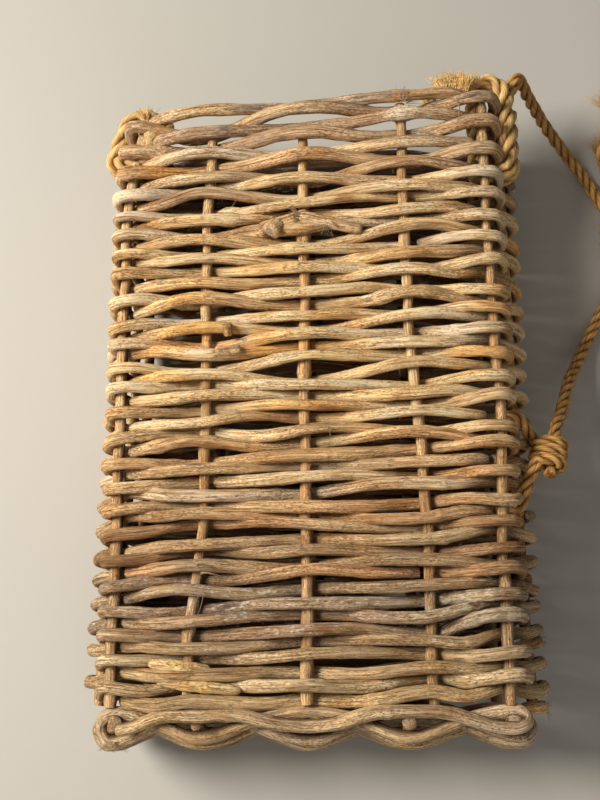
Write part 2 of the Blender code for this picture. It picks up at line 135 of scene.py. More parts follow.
# Slow waves in the rows: size, length across and length up
SETTLE = ((0.0011, 0.31, 0.083), (0.0009, 0.17, 0.047), (0.0007, 0.52, 0.029))
# Wide gaps between two rows of the front: x, y, half a width and the opening in the frame
WIDE_GAPS = (
    (0.04, 0.132, 0.03, 0.0066), (0.026, 0.116, 0.026, 0.0046), (-0.026, -0.0184, 0.036, 0.009),
    (-0.089, 0.028, 0.026, 0.006), (0.048, 0.064, 0.028, 0.006), (-0.006, 0.016, 0.028, 0.006),
    (0.05, -0.0655, 0.036, 0.006), (-0.093, -0.1335, 0.028, 0.0062), (0.1, -0.156, 0.026, 0.006),
    (0.02, -0.1755, 0.04, 0.0066), (-0.045, 0.146, 0.03, 0.003), (0.09, 0.1, 0.028, 0.0046),
    (0.085, -0.018, 0.024, 0.0036), (-0.03, -0.095, 0.028, 0.0046), (-0.075, 0.076, 0.026, 0.0036),
)
GAP_REACH = 0.014
GAP_EDGE = 0.0015
# How much blunter the rods turn round the corners than a circle would
BLUNTNESS = 0.75
TINY = 1e-9


def unit(values):
    return np.clip(values, 0.0, 1.0)


def rows(points):
    """An array of points, one in each row."""
    return np.array([tuple(point) for point in points])


def blunt_corners(side, depth):
    """Moves what passes outside a corner stake out towards a square corner."""
    across = np.abs(side) - STAKE_SPREAD / 2
    beyond = np.abs(depth) - (WALL_DEPTH / 2 - CORNER_SET_IN)
    reach = np.hypot(across, beyond) + TINY
    factor = np.where((across > 0) & (beyond > 0),
                      (reach / np.maximum(across, beyond).clip(TINY)) ** BLUNTNESS, 1.0)
    return (np.sign(side) * (np.abs(side) + across * (factor - 1)),
            np.sign(depth) * (np.abs(depth) + beyond * (factor - 1)))


def settled(points):
    """Standing points where an old basket has them: leaning, sagging and unevenly spaced."""
    side, depth, height = np.array(points, dtype=float).T
    side, depth = blunt_corners(side, depth)
    share = unit(height / RIM_HEIGHT)
    middle = unit(1.0 - (depth / (WALL_DEPTH / 2)) ** 2)
    at_left = unit((-side - LEAN_START) / LEAN_FADE)
    at_right = unit((side - LEAN_START) / LEAN_FADE)
    lean = middle * (at_left * np.interp(share, *LEFT_LEAN)
                     - at_right * np.interp(share, *RIGHT_LEAN))
    lean += at_left * np.interp(share, *LEFT_CORNER_LEAN)
    past = unit((-side - STAKE_SPREAD / 2) / CORNER_DRAW_REACH)
    lean += CORNER_DRAW * past * unit(-depth / (WALL_DEPTH / 2)) ** 2
    left = np.clip((SAG_START - side) / SAG_WIDTH, 0.0, SAG_MOST)
    sag = RIM_SAG * unit((share - RIM_SAG_SHARE) / (1 - RIM_SAG_SHARE)) * left ** SAG_CURVE
    sag *= unit(1.0 - depth / WALL_DEPTH)
    inner = np.sin(math.pi * share) ** 0.5 * (np.abs(side) < STAKE_SPREAD)
    shift = inner * sum(size * np.sin(2 * math.pi * (side / wide + height / tall))
                        for size, wide, tall in SETTLE)
    front = unit(-2 * depth / WALL_DEPTH)
    fronts = [STAKE_SPREAD / 2 * place for place in FRONT_STAKE_SHARES]
    climb = np.arange(len(fronts)) * 2 / STAKES
    for x, y, half_width, opening in WIDE_GAPS:
        row = math.floor((y - LYING.y - FIRST_ROW) / ROW_PITCH - np.interp(x, fronts, climb))
        off = height - FIRST_ROW - ROW_PITCH * (row + 0.5 + np.interp(side, fronts, climb))
        shift += opening / 2 * front * np.tanh(off / GAP_EDGE) * np.exp(
            -(off / GAP_REACH) ** 2 - ((side - x) / half_width) ** 2)
    return np.stack((side + lean, depth, height - sag + shift), axis=1)


def in_row(points):
    """Lays points of the standing basket on their back."""
    side, depth, height = np.asarray(points, dtype=float).T
    return np.stack((side + LYING.x, height + LYING.y, LYING.z - depth), axis=1)


def standing(point):
    """The standing place of one point of the frame."""
    return Vector((point[0] - LYING.x, LYING.z - point[2], point[1] - LYING.y))


def add_object(name, data):
    made = bpy.data.objects.new(name, data)
    bpy.context.scene.collection.objects.link(made)
    return made


# The camera, at the photograph's angle
camera = add_object("camera", bpy.data.cameras.new("camera"))
camera.data.lens = 49.5
camera.data.sensor_width = 36.0
camera.location = (0.0406, -0.1798, 0.8015)
camera.rotation_euler = [math.radians(angle) for angle in (13.97, 3.71, -0.46)]
bpy.context.scene.camera = camera
bpy.context.scene.view_settings.view_transform = "Standard"


class Look:
    """A material, with short names for the shader nodes that it is made of."""

    def __init__(self, name):
        self.material = bpy.data.materials.new(name)
        self.material.use_nodes = True
        self.tree = self.material.node_tree
        self.shader = self.tree.nodes["Principled BSDF"]

    def put(self, socket, value):
        """Links another node's output to a socket, or sets the socket's value."""
        if isinstance(value, bpy.types.NodeSocket):
            self.tree.links.new(value, socket)
        else:
            socket.default_value = (*value, 1.0) if socket.type == "RGBA" else value

    def set(self, **values):
        """Sets or links inputs of the main shader, with _ for the spaces in their names."""
        for name, value in values.items():
            self.put(self.shader.inputs[name.replace("_", " ")], value)

    def node(self, kind, inputs=(), **settings):
        node = self.tree.nodes.new("ShaderNode" + kind)
        for name, value in settings.items():
            setattr(node, name, value)
        for name, value in dict(inputs).items():
            self.put(node.inputs[name], value)
        return node

    def stored(self, name, output="Color"):
        """What the mesh stores under a name."""
        return self.node("Attribute", attribute_name=name).outputs[output]

    def mix(self, fac, first, second, blend="MIX"):
        return self.node("Mix", {0: fac, 6: first, 7: second}, data_type="RGBA",
                         blend_type=blend).outputs[2]

    def calc(self, operation, first, second):
        return self.node("Math", {0: first, 1: second}, operation=operation).outputs[0]

    def noise(self, vector, along, across, detail, rough):
        """Noise that is stretched along a rod or a strand."""
        place = self.node("Mapping", {"Vector": vector, "Scale": (along, across, across)})
        return self.node("TexNoise", {"Vector": place.outputs[0], "Scale": 1.0,
                                      "Detail": detail, "Roughness": rough}).outputs["Fac"]

    def ramp(self, fac, stops):
        """A colour ramp through stops of place and grey level or colour."""
        node = self.node("ValToRGB", {"Fac": fac})
        elements = node.color_ramp.elements
        while len(elements) < len(stops):
            elements.new(0.5)
        for element, (place, colour) in zip(elements, stops):
            element.position = place
            element.color = (*(colour if isinstance(colour, tuple) else (colour,) * 3), 1.0)
        return node.outputs["Color"]

    def tint(self, colour, fac, stops):
        """The colour multiplied by a ramp."""
        return self.mix(1.0, colour, self.ramp(fac, stops), "MULTIPLY")

    def cover(self, colour, mask, share, over):
        """The colour with a share of another over it, where the mask lets it through."""
        return self.mix(self.calc("MULTIPLY", mask, share), colour, over)

    def bump(self, strength, distance, parts):
        """Raises the surface by shares of several patterns."""
        height = 0.0
        for pattern, share in parts:
            height = self.calc("ADD", height, self.calc("MULTIPLY", pattern, share))
        self.set(Normal=self.node("Bump", {"Strength": strength, "Distance": distance,
                                           "Height": height}).outputs[0])


def rattan_material():
    """Weathered rattan: lengthwise grooves and cracks, dark pores, bark and pale scars."""
    look = Look("weathered_rattan")
    grain = look.stored("grain", "Vector")
    shares = look.node("SeparateColor", {"Color": look.stored("age")}).outputs
    grooves = look.noise(grain, 17, 1350, 4, 0.7)
    flecks = look.noise(grain, 450, 1400, 3, 0.65)
    broad = look.noise(grain, 9, 480, 3, 0.55)
    clouds = look.noise(grain, 38, 150, 4, 0.6)
    flakes = look.noise(grain, 190, 520, 5, 0.7)
    pores = look.noise(grain, 620, 1450, 2, 0.5)
    fissures = look.noise(grain, 26, 620, 3, 0.6)
    rifts = look.calc("ABSOLUTE", look.calc("SUBTRACT", fissures, 0.5), 0.0)

    # The stored tone holds each rod's colour with painted shade on its side that faces into the
    # basket
    colour = look.tint(look.stored("tone"), grooves, (
        (0.36, (0.57, 0.47, 0.37)), (0.46, (0.94, 0.91, 0.88)), (0.6, (1.2, 1.21, 1.23))))
    worn = look.ramp(look.noise(grain, 21, 90, 2, 0.5), ((0.42, 0.15), (0.56, 1.0)))
    colour = look.mix(worn, colour, look.tint(colour, flecks, (
        (0.38, (0.5, 0.41, 0.32)), (0.48, 1.0), (0.62, (1.36, 1.38, 1.42)))))
    colour = look.tint(colour, broad, ((0.34, (0.76, 0.69, 0.62)), (0.5, 1.02), (0.66, 1.18)))
    colour = look.tint(colour, clouds, (
        (0.32, (0.72, 0.58, 0.42)), (0.46, (0.99, 0.96, 0.9)), (0.64, (1.16, 1.17, 1.2))))

    # Bark that is left on, where the share of bark in the piece lets it through
    patchy = look.calc("ADD", clouds, look.calc("MULTIPLY", flakes, 0.35))
    bark_mask = look.ramp(look.calc("ADD", patchy, shares["Red"]), ((0.93, 0.0), (1.05, 1.0)))
    bark = look.mix(look.ramp(flakes, ((0.4, 0.0), (0.62, 1.0))),
                    (0.15, 0.094, 0.062), (0.42, 0.315, 0.225))
    colour = look.cover(colour, bark_mask, 0.8, bark)

    # Pale lichen and scars, where the share of pale spots lets them through
    spots = look.ramp(look.calc("ADD", flakes, shares["Green"]), ((0.74, 0.0), (0.82, 1.0)))
    colour = look.cover(colour, spots, 0.75, (0.8, 0.69, 0.52))

    rift_mask = look.ramp(rifts, ((0.004, 1.0), (0.02, 0.0)))
    colour = look.cover(colour, rift_mask, 0.32, (0.12, 0.066, 0.032))
    pore_mask = look.ramp(pores, ((0.31, 1.0), (0.37, 0.0)))
    colour = look.cover(colour, pore_mask, 0.5, (0.11, 0.06, 0.03))
    palest = look.node("VectorMath", {0: colour, 1: (0.95, 0.76, 0.52)}, operation="MINIMUM")
    look.set(Base_Color=palest.outputs[0], Specular_IOR_Level=0.36,
             Roughness=look.ramp(broad, ((0.3, 0.86), (0.7, 0.62))))
    look.bump(0.9, 0.0011, ((grooves, 0.72), (broad, 0.5), (flakes, 0.5), (flecks, 0.5),
                            (pore_mask, -0.5), (rift_mask, -0.5)))
    return look.material


def cut_material():
    """A sawn or snapped rattan end, pale with dark pores."""
    look = Look("cut_rattan")
    pores = look.noise(look.node("TexCoord").outputs["Object"], 1900, 1900, 2, 0.5)
    look.set(Roughness=0.9, Base_Color=look.ramp(pores, (
        (0.36, (0.09, 0.05, 0.028)), (0.5, (0.36, 0.24, 0.13)), (0.7, (0.55, 0.41, 0.25)))))
    look.bump(0.8, 0.0006, ((pores, 1.0),))
    return look.material


# The colours of rope fibres, from the darkest to the lightest, and of sun-bleached ones, which on
# the hitches also serve as painted light
FIBRE_STOPS = ((0.28, (0.2, 0.095, 0.026)), (0.45, (0.58, 0.325, 0.1)),
               (0.6, (0.82, 0.51, 0.19)), (0.75, (0.96, 0.69, 0.33)))
BLEACHED_AND_LIT_FIBRE = (1.0, 0.74, 0.345)


def rope_material(name, lift):
    """Natural fibre rope: fine fibres that run along each strand, lifted towards sun-bleached
    fibre where it is frayed, and on the hitches partly as painted light.
    """
    look = Look(name)
    grain = look.stored("grain", "Vector")
    fibres = look.noise(grain, 55, 2600, 4, 0.65)
    yarns = look.noise(grain, 18, 750, 2, 0.5)
    clouds = look.noise(grain, 60, 60, 3, 0.6)
    colour = look.ramp(fibres, [
        (place, tuple(level + (top - level) * lift for level, top in zip(shade, BLEACHED_AND_LIT_FIBRE)))
        for place, shade in FIBRE_STOPS])
    # The stored tone holds the painted shade in the grooves between the strands
    colour = look.mix(1.0, colour, look.stored("tone"), "MULTIPLY")
    colour = look.tint(colour, yarns, ((0.34, (0.6, 0.5, 0.4)), (0.55, 1.0)))
    colour = look.tint(colour, clouds, ((0.35, (0.82, 0.78, 0.72)), (0.65, (1.12, 1.1, 1.05))))
    look.set(Base_Color=colour, Roughness=0.82, Specular_IOR_Level=0.3)
    look.bump(0.9, 0.0008, ((fibres, 0.6), (yarns, 1.0)))
    return look.material


RATTAN = rattan_material()
CUT = cut_material()
ROPE = rope_material("fibre_rope", 0.0)
# A paler copy of the rope for the hitches: partly the rope's paler colour there, partly painted
# light
PALE_LIT_ROPE = rope_material("pale_lit_rope", 0.62)
FRAYED = rope_material("frayed_rope", 0.92)

# Rattan colours as linear red, green and blue
CHALK = np.array((0.95, 0.83, 0.64))
PALE = np.array((0.95, 0.72, 0.42))
TAN = np.array((0.82, 0.57, 0.29))
BROWN = np.array((0.55, 0.34, 0.155))
GREY = np.array((0.66, 0.51, 0.35))
UMBER = np.array((0.44, 0.28, 0.165))
RUST = np.array((0.62, 0.34, 0.155))
ORANGE = np.array((0.76, 0.37, 0.08))
BRANCH = np.array((0.68, 0.46, 0.25))
SCAR = np.array((1.02, 0.64, 0.26))
GOLD = np.array((0.9, 0.58, 0.26))

# Stretches of the front that stand out: x, y, half a width and half a height in the frame,
# the colour and how strongly it shows
PATCHES = (
    (-0.05, 0.0405, 0.046, 0.0058, ORANGE, 0.95), (-0.018, 0.029, 0.036, 0.0058, ORANGE, 0.9),
    (-0.039, 0.04, 0.004, 0.005, CHALK, 0.8), (0.02, 0.049, 0.03, 0.005, ORANGE, 0.45),
    (-0.082, 0.031, 0.034, 0.006, ORANGE, 0.75), (0.108, 0.024, 0.016, 0.007, ORANGE, 0.6),
    (0.03, -0.08, 0.05, 0.006, RUST, 0.8), (0.045, -0.119, 0.07, 0.006, RUST, 0.85),
    (-0.105, -0.117, 0.022, 0.005, RUST, 0.85), (-0.04, -0.149, 0.095, 0.013, UMBER, 0.7),
    (-0.105, -0.137, 0.014, 0.004, CHALK, 0.6), (-0.02, -0.148, 0.012, 0.003, CHALK, 0.5),
    (0.06, -0.14, 0.014, 0.003, CHALK, 0.45), (-0.07, 0.1965, 0.036, 0.006, GOLD, 0.85),
    (-0.002, 0.1995, 0.024, 0.0045, PALE, 0.85), (-0.071, 0.184, 0.045, 0.004, UMBER, 0.8),
    (-0.096, 0.1635, 0.024, 0.0045, ORANGE, 0.75), (0.0, 0.19, 0.05, 0.008, UMBER, 0.45),
    (0.085, 0.18, 0.045, 0.02, UMBER, 0.4), (0.07, 0.2, 0.012, 0.006, CHALK, 0.9),
    (0.075, 0.21, 0.045, 0.006, RUST, 0.55), (-0.02, 0.112, 0.04, 0.007, BROWN, 0.6),
)
# Stretches that are swollen: x, y, half a width, half a height and the added thickness
SWELLS = (
    (-0.022, 0.112, 0.028, 0.006, 0.34), (-0.051, 0.127, 0.006, 0.005, 0.45),
    (0.096, -0.186, 0.007, 0.0045, 0.42), (0.004, 0.017, 0.006, 0.0045, 0.4),
    (0.118, 0.178, 0.008, 0.005, 0.4), (-0.06, -0.03, 0.005, 0.004, 0.25),
    (0.07, 0.2, 0.008, 0.006, 0.35), (0.052, 0.061, 0.005, 0.004, 0.25),
)
FRONT = 0.085
# How bright the rods are at shares of the basket's height
HEIGHT_GAIN = ((0.0, 0.08, 0.15, 0.24, 0.33, 0.42, 0.75, 0.9, 1.0),
               (0.72, 0.66, 0.56, 0.6, 0.8, 1.03, 1.07, 0.94, 0.9))
# What a single rod's colour leans to, and how strongly
OWN_COLOURS = (PALE, TAN, BROWN, BROWN, RUST, ORANGE, GREY, CHALK, PALE, UMBER)
OWN_SHARE = 0.7
# Bands of colour up the basket: the colour, its strength at shares of the height with their
# widths, and the length, the level and the size of its patches
BANDS = (
    (RUST, ((0.75, 0.31, 0.11),), 0.37, 0.5, 0.6),
    (UMBER, ((0.95, 0.17, 0.06),), 0.23, 0.6, 0.6),
    (GREY, ((0.2, 0.17, 0.07), (0.6, 1.0, 0.14)), 0.29, 0.6, 0.6),
    (UMBER, ((0.75, 1.0, 0.06),), 0.17, 0.45, 0.6),
    (ORANGE, ((0.8, 0.6, 0.22),), 0.47, -0.35, 0.9),
)


def sweep(name, lines, radii, sides):
    """Tubes along lines of points with a radius at each, ring by ring in one mesh."""
    curve = bpy.data.curves.new(name, "CURVE")
    curve.dimensions = "3D"
    curve.bevel_depth = 1.0
    curve.bevel_resolution = (sides - 4) // 2
    for points, sizes in zip(lines, radii):
        spline = curve.splines.new("POLY")
        spline.points.add(len(points) - 1)
        spline.points.foreach_set("co", np.column_stack((points, np.ones(len(points)))).ravel())
        spline.points.foreach_set("radius", sizes)
    carrier = add_object(name, curve)
    graph = bpy.context.evaluated_depsgraph_get()
    graph.update()
    mesh = bpy.data.meshes.new_from_object(carrier.evaluated_get(graph))
    bpy.data.objects.remove(carrier)
    bpy.data.curves.remove(curve)
    mesh.name = name
    return mesh


def ring_points(mesh, sides):
    """The places of a tube's points, ring by ring."""
    places = np.empty(len(mesh.vertices) * 3)
    mesh.vertices.foreach_get("co", places)
    return places.reshape(-1, sides, 3)


def lengths_along(points):
    steps = np.linalg.norm(np.diff(points, axis=0), axis=1)
    return np.concatenate(([0.0], np.cumsum(steps)))


def store(mesh, name, values):
    """Keeps the place in the grain, or a colour, for each point of a mesh."""
    values = values.reshape(-1, 3)
    if name == "grain":
        layer = mesh.attributes.new(name, "FLOAT_VECTOR", "POINT")
        layer.data.foreach_set("vector", values.ravel())
    else:
        layer = mesh.attributes.new(name, "FLOAT_COLOR", "POINT")
        layer.data.foreach_set("color", np.column_stack((values, np.ones(len(values)))).ravel())


def store_grain(mesh, along, across, turn):
    """Keeps a place along and across the tube for each of its points."""
    store(mesh, "grain", np.stack(np.broadcast_arrays(
        along[:, None], across * np.cos(turn), across * np.sin(turn)), axis=-1))


def facing(where, centre, radii, ways):
    """How far each point of a tube faces the way given for its ring, from -1 to 1."""
    out = (where - centre[:, None, :]) / radii[:, None, None]
    return np.einsum("rsc,rc->rs", out, ways)[..., None]


def soften(mesh):
    mesh.shade_smooth()
    mesh.set_sharp_from_angle(angle=math.radians(50))


def close_ends(mesh):
    """Fills both ends of each open tube with a face of the last material."""
    shape = bmesh.new()
    shape.from_mesh(mesh)
    rim = [edge for edge in shape.edges if edge.is_boundary]
    for face in bmesh.ops.edgeloop_fill(shape, edges=rim)["faces"]:
        face.material_index = len(mesh.materials) - 1
    bmesh.ops.recalc_face_normals(shape, faces=shape.faces)
    shape.to_mesh(mesh)
    shape.free()
    soften(mesh)


def join(name, meshes):
    """One mesh of all of them, which keeps their attributes and materials."""
    finishes = list(dict.fromkeys(finish for mesh in meshes for finish in mesh.materials))
    shape = bmesh.new()
    for mesh in meshes:
        first = len(shape.faces)
        shape.from_mesh(mesh)
        shape.faces.ensure_lookup_table()
        for face in shape.faces[first:]:
            face.material_index = finishes.index(mesh.materials[face.material_index])
    joined = bpy.data.meshes.new(name)
    shape.to_mesh(joined)
    shape.free()
    for finish in finishes:
        joined.materials.append(finish)
    soften(joined)
    for mesh in meshes:
        bpy.data.meshes.remove(mesh)
    return joined


def place_piece(name, mesh, slot, *nodes):
    """A finished piece on the basket's one body, in place of its solids."""
    piece = add_object(name, mesh)
    if nodes:
        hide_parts(*nodes)
    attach(piece, "root")
    return piece


# The painted shade on the side of a rod that faces into the basket, and the painted light on the
# side that faces out
INSIDE_SHADE = np.array((0.14, 0.09, 0.05))
OUTSIDE_LIGHT = 1.06
INSIDE_SHARPNESS = 8
# How far round a rod the painted light reaches, and over which share of it it fades into the
# painted shade
LIGHT_REACH = 0.7
SHADE_FADE = 0.75
HALF_WIDTH = 0.144
HALF_DEPTH = 0.0525
BASE_LEVEL = -0.2085
ROD_SIDES = 12
RIPPLE = 0.035
# Dents in a rod: their length along it and how often they come round it
DENTS = ((0.055, 1), (0.031, 2), (0.017, 3), (0.09, 2))
# How far apart the rods lie in the grain, for each step of their seeds
GRAIN_STEP = 1.7


def way_out(points):
    """The direction out of the basket at each point of the frame."""
    side = (points[:, 0] - LYING.x) / HALF_WIDTH
    rise = (points[:, 2] - LYING.z) / HALF_DEPTH
    fall = np.where(points[:, 1] < BASE_LEVEL, -1.0, 0.0)
    ways = np.stack((np.sign(side) * np.abs(side) ** INSIDE_SHARPNESS, fall,
                     np.sign(rise) * np.abs(rise) ** INSIDE_SHARPNESS), axis=1)
    return ways / (np.linalg.norm(ways, axis=1)[:, None] + TINY)


def rod_mesh(name, points, radii, looks, seed, ripple=RIPPLE):
    """A closed rattan rod: an uneven tube that stores its colour with painted shade on the side
    that faces into the basket, its age and its grain.
    """
    rng = np.random.default_rng(seed)
    mesh = sweep(name, [points], [radii], ROD_SIDES)
    along = lengths_along(points)
    turn = 2 * np.pi * np.arange(ROD_SIDES) / ROD_SIDES
    swell = np.zeros((len(points), ROD_SIDES))
    for wave, lobes in DENTS:
        phase, _ = rng.uniform(0, 2 * np.pi, 2)
        swell += rng.uniform(0.4, 1.0) * np.sin(
            2 * np.pi * along[:, None] / wave + lobes * turn[None, :] + phase)
    centre = points[:, None, :]
    where = centre + (ring_points(mesh, ROD_SIDES) - centre) * (1 + ripple * swell)[..., None]
    mesh.vertices.foreach_set("co", where.ravel())

    tones, ages = looks
    store_grain(mesh, seed * GRAIN_STEP + along, radii[:, None], turn)
    # Painted shade on the side of the rod that faces into the basket, painted light on the side
    # that faces out
    lit_share = unit((facing(where, points, radii, way_out(points)) + LIGHT_REACH) / SHADE_FADE)
    store(mesh, "tone", tones[:, None, :] * (
        INSIDE_SHADE + (OUTSIDE_LIGHT - INSIDE_SHADE) * lit_share))
    store(mesh, "age", np.repeat(ages, ROD_SIDES, axis=0))
    mesh.materials.append(RATTAN)
    mesh.materials.append(CUT)
    close_ends(mesh)
    return mesh


def place_rod(stem, slot, route, radii, looks, seed, ripple=RIPPLE, node=None):
    """A rod on a route of the frame, in place of its node."""
    name = stem + "_rattan"
    place_piece(name, rod_mesh(name, route, radii, looks, seed, ripple), slot, node or stem)


def stake_ring():
    """Each stake's place, with the directions along the wall and out of it there."""
    half, depth = STAKE_SPREAD / 2, WALL_DEPTH / 2

    def wall(shares, face):
        return [Vector((share * half, face * (depth - CORNER_SET_IN * (abs(share) == 1.0))))
                for share in shares]

    places = [*wall(FRONT_STAKE_SHARES, -1), Vector((half + SIDE_BULGE, 0.0)),
              *wall(BACK_STAKE_SHARES, 1), Vector((-half - SIDE_BULGE, 0.0))]
    ring = []
    for index, place in enumerate(places):
        before = place - places[index - 1]
        after = places[(index + 1) % STAKES] - place
        along = (before.normalized() + after.normalized()).normalized()
        ring.append({"place": place, "along": along, "out": Vector((along.y, -along.x)),
                     "before": before.length, "after": after.length})
    return ring


def row_height(crossing):
    """The height of a rod after it has passed so many stakes of its climb."""
    body = min(crossing, BODY_CROSSINGS)
    rim = max(crossing - BODY_CROSSINGS, 0)
    return FIRST_ROW + 2 * (ROW_PITCH * body + RIM_PITCH * rim) / STAKES


def on_curve(start, start_way, end, end_way, t):
    """A point of the smooth curve that leaves one place and reaches the next in given ways."""
    return (start * (2 * t ** 3 - 3 * t ** 2 + 1) + start_way * (t ** 3 - 2 * t ** 2 + t)
            + end * (3 * t ** 2 - 2 * t ** 3) + end_way * (t ** 3 - t ** 2))


RING = stake_ring()
RIM_HEIGHT = row_height(LAST_CROSSING)
STEPS_BETWEEN_STAKES = 15
STAKE_NUDGE = 0.0018
GAP_NUDGE = 0.00035
LOW_ROWS = 5
LOW_SAG = 0.0032
RIM_SWELL = 1.12
RIM_CALM = 0.35
STAKE_SWELL = 1.04


def rod_route(first, last, lag, rest, open_start, seed):
    """The smooth course of a rod past its stakes, standing."""
    rng = np.random.default_rng(seed)
    knots = []
    for crossing in range(first + open_start, last + 1):
        stake = RING[crossing % STAKES]
        side = 1.0 if crossing % 2 == rest else -1.0
        shift = 0.0
        if crossing == first:
            shift = ROD_END_SPACE
        elif crossing == last:
            shift = -ROD_END_SPACE
        elif crossing == first + 1 and open_start:
            shift = -CROSSING_LENGTH / 2
        place = stake["place"] + stake["out"] * side * REACH + stake["along"] * shift
        wave = side * RIM_WAVE * RIM_CALM if crossing - lag > BODY_CROSSINGS + 1 else 0.0
        share = shift / (stake["after"] if shift > 0 else stake["before"])
        knots.append((place, stake["along"], row_height(crossing - lag + share) + wave,
                      0.0 if shift else rng.normal(0.0, STAKE_NUDGE)))
    points = []
    for (place, along, height, nudge), (next_place, next_along, next_height, next_nudge) in zip(
            knots, knots[1:]):
        run = (next_place - place).length
        between = rng.normal(0.0, GAP_NUDGE)
        low = max(0.0, 1.0 - (height - FIRST_ROW) / (LOW_ROWS * ROW_PITCH))
        for step in range(STEPS_BETWEEN_STAKES):
            t = step / STEPS_BETWEEN_STAKES
            flat = on_curve(place, along * run, next_place, next_along * run, t)
            lift = (nudge * math.cos(math.pi * t / 2) ** 4
                    + next_nudge * math.sin(math.pi * t / 2) ** 4
                    + (between - LOW_SAG * low) * math.sin(math.pi * t) ** 2)
            points.append((flat.x, flat.y, height + (next_height - height) * t + lift))
    place, _, height, _ = knots[-1]
    points.append((place.x, place.y, height))
    return np.array(points)


def rounded_ends(radii, profile=(0.86,)):
    """Draws in the first and the last rings, as a worn cut end is."""
    radii = radii.copy()
    for index, factor in enumerate(profile):
        radii[index] *= factor
        radii[-1 - index] *= factor
    return radii


def smooth_noise(rng, along, wave):
    """Slow noise of about unit size along a length."""
    total = np.zeros(len(along))
    for factor in (1.0, 0.53, 0.29):
        total += rng.uniform(0.5, 1.0) * np.sin(
            2 * np.pi * along / (wave * factor) + rng.uniform(0, 2 * np.pi))
    return total / 1.6


def blend(first, second, share):
    share = np.asarray(share)[..., None]
    return first * (1 - share) + second * share


def near(value, centre, width):
    """A soft bump: 1 where the value is at the centre, falling off over the width."""
    return np.exp(-((value - centre) / width) ** 2)


def within(points, x, y, half_width, half_height):
    """How far standing points lie inside a stretch of the front, from 0 to 1."""
    seen = in_row(settled(points))
    return (np.exp(-((seen[:, 0] - x) / half_width) ** 4 - ((seen[:, 1] - y) / half_height) ** 4)
            * (seen[:, 2] > FRONT))


def rod_looks(rng, points):
    """The colour and the shares of bark and of pale spots at each point of a rod."""
    along = lengths_along(points)
    height = unit(points[:, 2] / RIM_HEIGHT)

    def patches(wave, level=0.5, size=0.6):
        return unit(level + size * smooth_noise(rng, along, wave))

    base = blend(TAN, PALE, patches(0.33) * (0.55 + 0.45 * near(height, 0.55, 0.2)))
    base = blend(base, BROWN, 0.75 * patches(0.41, 0.15))
    own = OWN_COLOURS[rng.integers(len(OWN_COLOURS))]
    base = blend(base, own, OWN_SHARE * patches(0.5, 0.5, 0.8))
    for colour, places, *patch in BANDS:
        strength = sum(most * near(height, *place) for most, *place in places)
        base = blend(base, colour, strength * patches(*patch))
    base = base * (1 + 0.14 * smooth_noise(rng, along, 0.24))[:, None]
    base = base * np.interp(height, *HEIGHT_GAIN)[:, None]
    for *stretch, colour, strength in PATCHES:
        base = blend(base, colour, strength * within(points, *stretch))
    bark = np.clip(0.02 + 0.13 * smooth_noise(rng, along, 0.33), 0, 0.4)
    bark += 0.1 * near(height, 0.18, 0.07) + 0.16 * near(height, 1.0, 0.1)
    spots = np.clip(0.04 + 0.07 * smooth_noise(rng, along, 0.27), 0, 0.2)
    spots += 0.15 * near(height, 0.17, 0.06) + 0.08 * near(height, 0.95, 0.1)
    return base, np.stack((bark, spots, np.zeros(len(along))), axis=1)


def rod_radii(rng, points, radius):
    """A rod's thickness along it: thick at its butt, thin at its tip, and swollen at nodes."""
    along = lengths_along(points)
    radii = radius * (1.12 - 0.12 * (along / along[-1])) * rng.uniform(0.94, 1.04)
    radii *= (1 + 0.05 * smooth_noise(rng, along, 0.11)) * (
        1 + 0.05 * smooth_noise(rng, along, 0.6))
    place = rng.uniform(0.03, 0.12)
    while place < along[-1]:
        radii *= 1 + rng.uniform(0.06, 0.2) * near(along, place, rng.uniform(0.0025, 0.005))
        place += rng.uniform(0.08, 0.2)
    for *stretch, swell in SWELLS:
        radii *= 1 + swell * within(points, *stretch)
    return radii


def make_wall_rods():
    """Both sets of wall rods and of rim rods."""
    a_start = HALF_TURN + 1
    a_joints = list(range(a_start, a_start + BODY_CROSSINGS, CROSSINGS_PER_ROD))
    a_joints += [a_start + BODY_CROSSINGS + STAKES * turn for turn in range(RIM_TURNS + 1)]
    sets = (("a", a_joints, HALF_TURN, 0, A_ROD_BREAKS, a_start + BODY_CROSSINGS),
            ("b", B_ROD_JOINTS, 0, 1, B_ROD_BREAKS, BODY_CROSSINGS))
    for letter, joints, lag, rest, breaks, rim_start in sets:
        rim_count = 0
        for count, (first, last) in enumerate(zip(joints, joints[1:]), start=1):
            in_rim = first >= rim_start
            rim_count += in_rim
            node = f"rim_rod_{letter}{rim_count}" if in_rim else f"weaving_rod_{letter}{count:02d}"
            seed = 100 * (letter == "b") + count
            rng = np.random.default_rng(seed)
            route = rod_route(first, last, lag, rest, first in breaks, seed)
            looks = rod_looks(rng, route)
            radii = rod_radii(rng, route, ROD_RADIUS * (RIM_SWELL if in_rim else 1.0))
            place_rod(node, "rim" if in_rim else "rod", in_row(settled(route)),
                      rounded_ends(radii), looks, seed)


# The front stakes whose tops end behind a rim rod, and by how much they stop short
HIDDEN_TOPS = (1, 2)
TOP_HIDDEN = 0.012
# How far stakes bend sideways at their heights
STAKE_BENDS = {
    "front_stake_1": ((0.34, 0.385, 0.42), (0.0, 0.004, 0.006)),
    "front_stake_2": ((0.053, 0.093, 0.12, 0.35, 0.385), (-0.0025, 0.003, 0.0065, 0.0065, 0.0095)),
    "front_stake_4": ((0.12, 0.18, 0.23, 0.31), (0.003, 0.0, -0.0035, -0.006)),
    "front_stake_5": ((0.1, 0.122, 0.146, 0.18, 0.217, 0.24),
                      (0.0, 0.001, 0.002, 0.0035, 0.0035, 0.001)),
}
STAKE_POINTS = 110
STAKE_BROWN = 0.55
STAKE_BARK = 0.7


